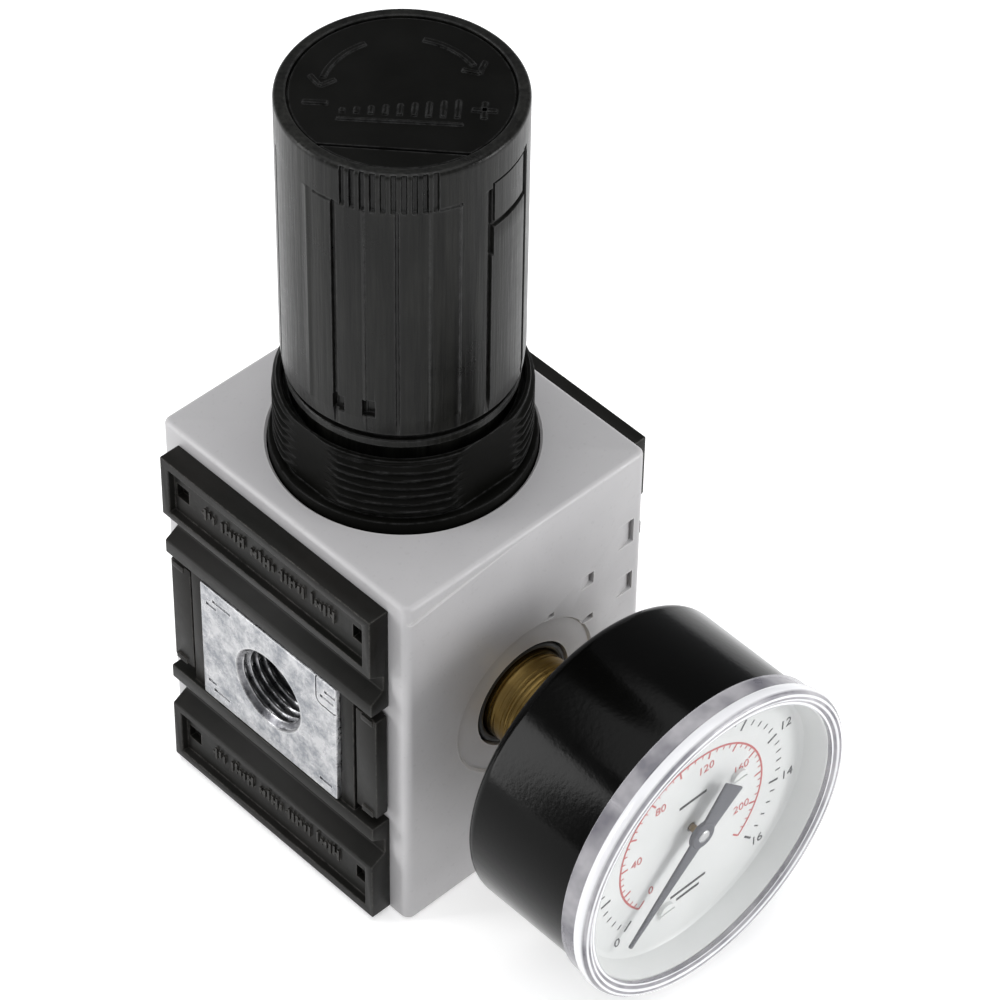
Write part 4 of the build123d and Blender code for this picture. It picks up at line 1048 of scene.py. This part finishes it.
# ------------------------ diaphragm
def rolling_diaphragm():
    """Rubber sheet: disc under the plate, clamped rim, and a ring of fold segments between them."""
    low, high, rise = 46.0, 47.2, 1.4
    disc_r, rim_r = 12.6, 15.2
    disc = turned("disc", [(3.05, low), (disc_r, low), (disc_r, high), (3.05, high)])
    settle(disc, "diaphragm_disc", "diaphragm_group", seal_rubber, ["diaphragm"])
    rim = turned("rim", [(rim_r, low), (18.6, low), (18.6, high), (rim_r, high)])
    settle(rim, "diaphragm_rim", "housing", seal_rubber)
    folds, steps, points = 12, 8, 10
    half = pi / folds
    shares = [i / points for i in range(points + 1)]
    lower = [(disc_r + (rim_r - disc_r) * t, low + rise * sin(pi * t) ** 2) for t in shares]
    outline = lower + [(r, z + high - low) for r, z in reversed(lower)]
    for k in range(folds):
        middle = 2 * half * k
        rings = []
        for i in range(steps + 1):
            a = middle + half * (2 * i / steps - 1)
            rings.append([(r * cos(a), r * sin(a), z) for r, z in outline])
        fold = close_ends(skin("fold", rings, False), len(outline))
        settle(fold, "diaphragm_fold_%02d" % k, None, seal_rubber)
        ends = [(r * 0.001 * cos(middle), r * 0.001 * sin(middle), low * 0.001)
                for r in (disc_r, rim_r * cos(half))]
        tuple(ends[0])
        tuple(ends[1])
        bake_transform(fold)


# ------------------------ carried-over CAD nodes
CARRIED = (
    (steel, ("bonnet_screws", "thrust_washer", "spindle_washer", "spindle_screw",
             "relief_retainer", "movement_screws", "valve_stem", "rear_port_plug")),
    (brass, ("spindle", "spring_nut", "relief_seat", "bourdon_tube", "tube_tip",
             "movement_rear_plate", "movement_front_plate", "movement_pillars",
             "dial_posts", "sector_gear", "link", "pinion", "valve_poppet")),
    (aluminium, ("diaphragm_plate",)),
    (seal_rubber, ("valve_disc", "bottom_plug_o_ring", "rear_port_seal")),
    (bonnet_black, ("bottom_plug",)),
    (white_enamel, ("dial_screws",)),
)


def dress_carried():
    for material, names in CARRIED:
        for name in names:
            mesh = nodes_of[name].data
            mesh.materials.clear()
            mesh.materials.append(material)


housing_cover()
cast_body()
coupling_frame(-1, "inlet_coupling_frame", "inlet_side_frame")
coupling_frame(1, "outlet_coupling_frame", "outlet_side_frame")
threaded_bonnet()
grip_knob()
top_cap()
gauge_shell()
gauge_lens()
dial()
needle()
brass_stem()
stem_seal()
coil_spring("regulating_spring", 48.7, 88.0, 10.0, 1.45, 6.0, 40, "diaphragm_group",
            "control_spring")
coil_spring("valve_return_spring", 12.0, 20.4, 4.2, 0.4, 5.0, 32, "housing",
            "valve_spring")
rolling_diaphragm()
dress_carried()


# ------------------------ camera, light and floor
def camera():
    azimuth, elevation, distance, roll = -44.165, 45.826, 682.314, 0.965
    target = Vector((18.782, 0.0, 38.522))
    a, e, r = radians(azimuth), radians(elevation), radians(roll)
    back = Vector((sin(a) * cos(e), -cos(a) * cos(e), sin(e)))
    right = Vector((cos(a), sin(a), 0.0))
    up = back.cross(right)
    right_rolled = right * cos(r) + up * sin(r)
    up_rolled = up * cos(r) - right * sin(r)
    data = bpy.data.cameras.new("camera")
    data.lens = 170.88
    data.sensor_width = 36.0
    data.clip_start = 0.01
    data.clip_end = 20.0
    obj = bpy.data.objects.new("camera", data)
    scene.collection.objects.link(obj)
    turn = Matrix((right_rolled, up_rolled, back)).transposed().to_4x4()
    obj.matrix_world = Matrix.Translation((target + back * distance) * 0.001) @ turn
    scene.camera = obj


def softbox(name, place, aim, size, power):
    data = bpy.data.lights.new(name, "AREA")
    data.shape = "RECTANGLE"
    data.size, data.size_y = size
    data.energy = power
    obj = bpy.data.objects.new(name, data)
    scene.collection.objects.link(obj)
    away = Vector(place) - Vector(aim)
    turn = away.to_track_quat("Z", "Y").to_matrix().to_4x4()
    obj.matrix_world = Matrix.Translation(place) @ turn


def studio():
    floor = turned("floor", [(0, -0.6), (3000.0, -0.6), (3000.0, -8.0), (0, -8.0)],
                   loop=False, steps=96)
    floor.name = "studio_floor"
    floor.data.transform(Matrix.Scale(0.001, 4))
    look = Look("studio_white", roughness=0.7)
    cloud = look.noise(3.0, 2.0)
    look.colour(look.blend(cloud, (0.9, 0.9, 0.9), (0.93, 0.93, 0.93)))
    look.shader.inputs["Emission Color"].default_value = (1.0, 1.0, 1.0, 1.0)
    look.shader.inputs["Emission Strength"].default_value = 0.42
    floor.data.materials.append(look.material)
    middle = (0.0, 0.0, 0.06)
    softbox("sky", (-0.1, 0.0, 1.2), middle, (1.4, 1.4), 12.0)
    softbox("left", (-0.75, 0.6, 0.3), middle, (0.3, 0.8), 5.5)
    softbox("right", (0.6, -0.85, 0.16), middle, (0.4, 0.7), 8.0)
    world = bpy.data.worlds.new("studio")
    world.use_nodes = True
    shade = world.node_tree.nodes["Background"]
    shade.inputs["Color"].default_value = (0.9, 0.92, 0.95, 1.0)
    shade.inputs["Strength"].default_value = 0.3
    scene.world = world
    scene.view_settings.view_transform = "Standard"


camera()
studio()
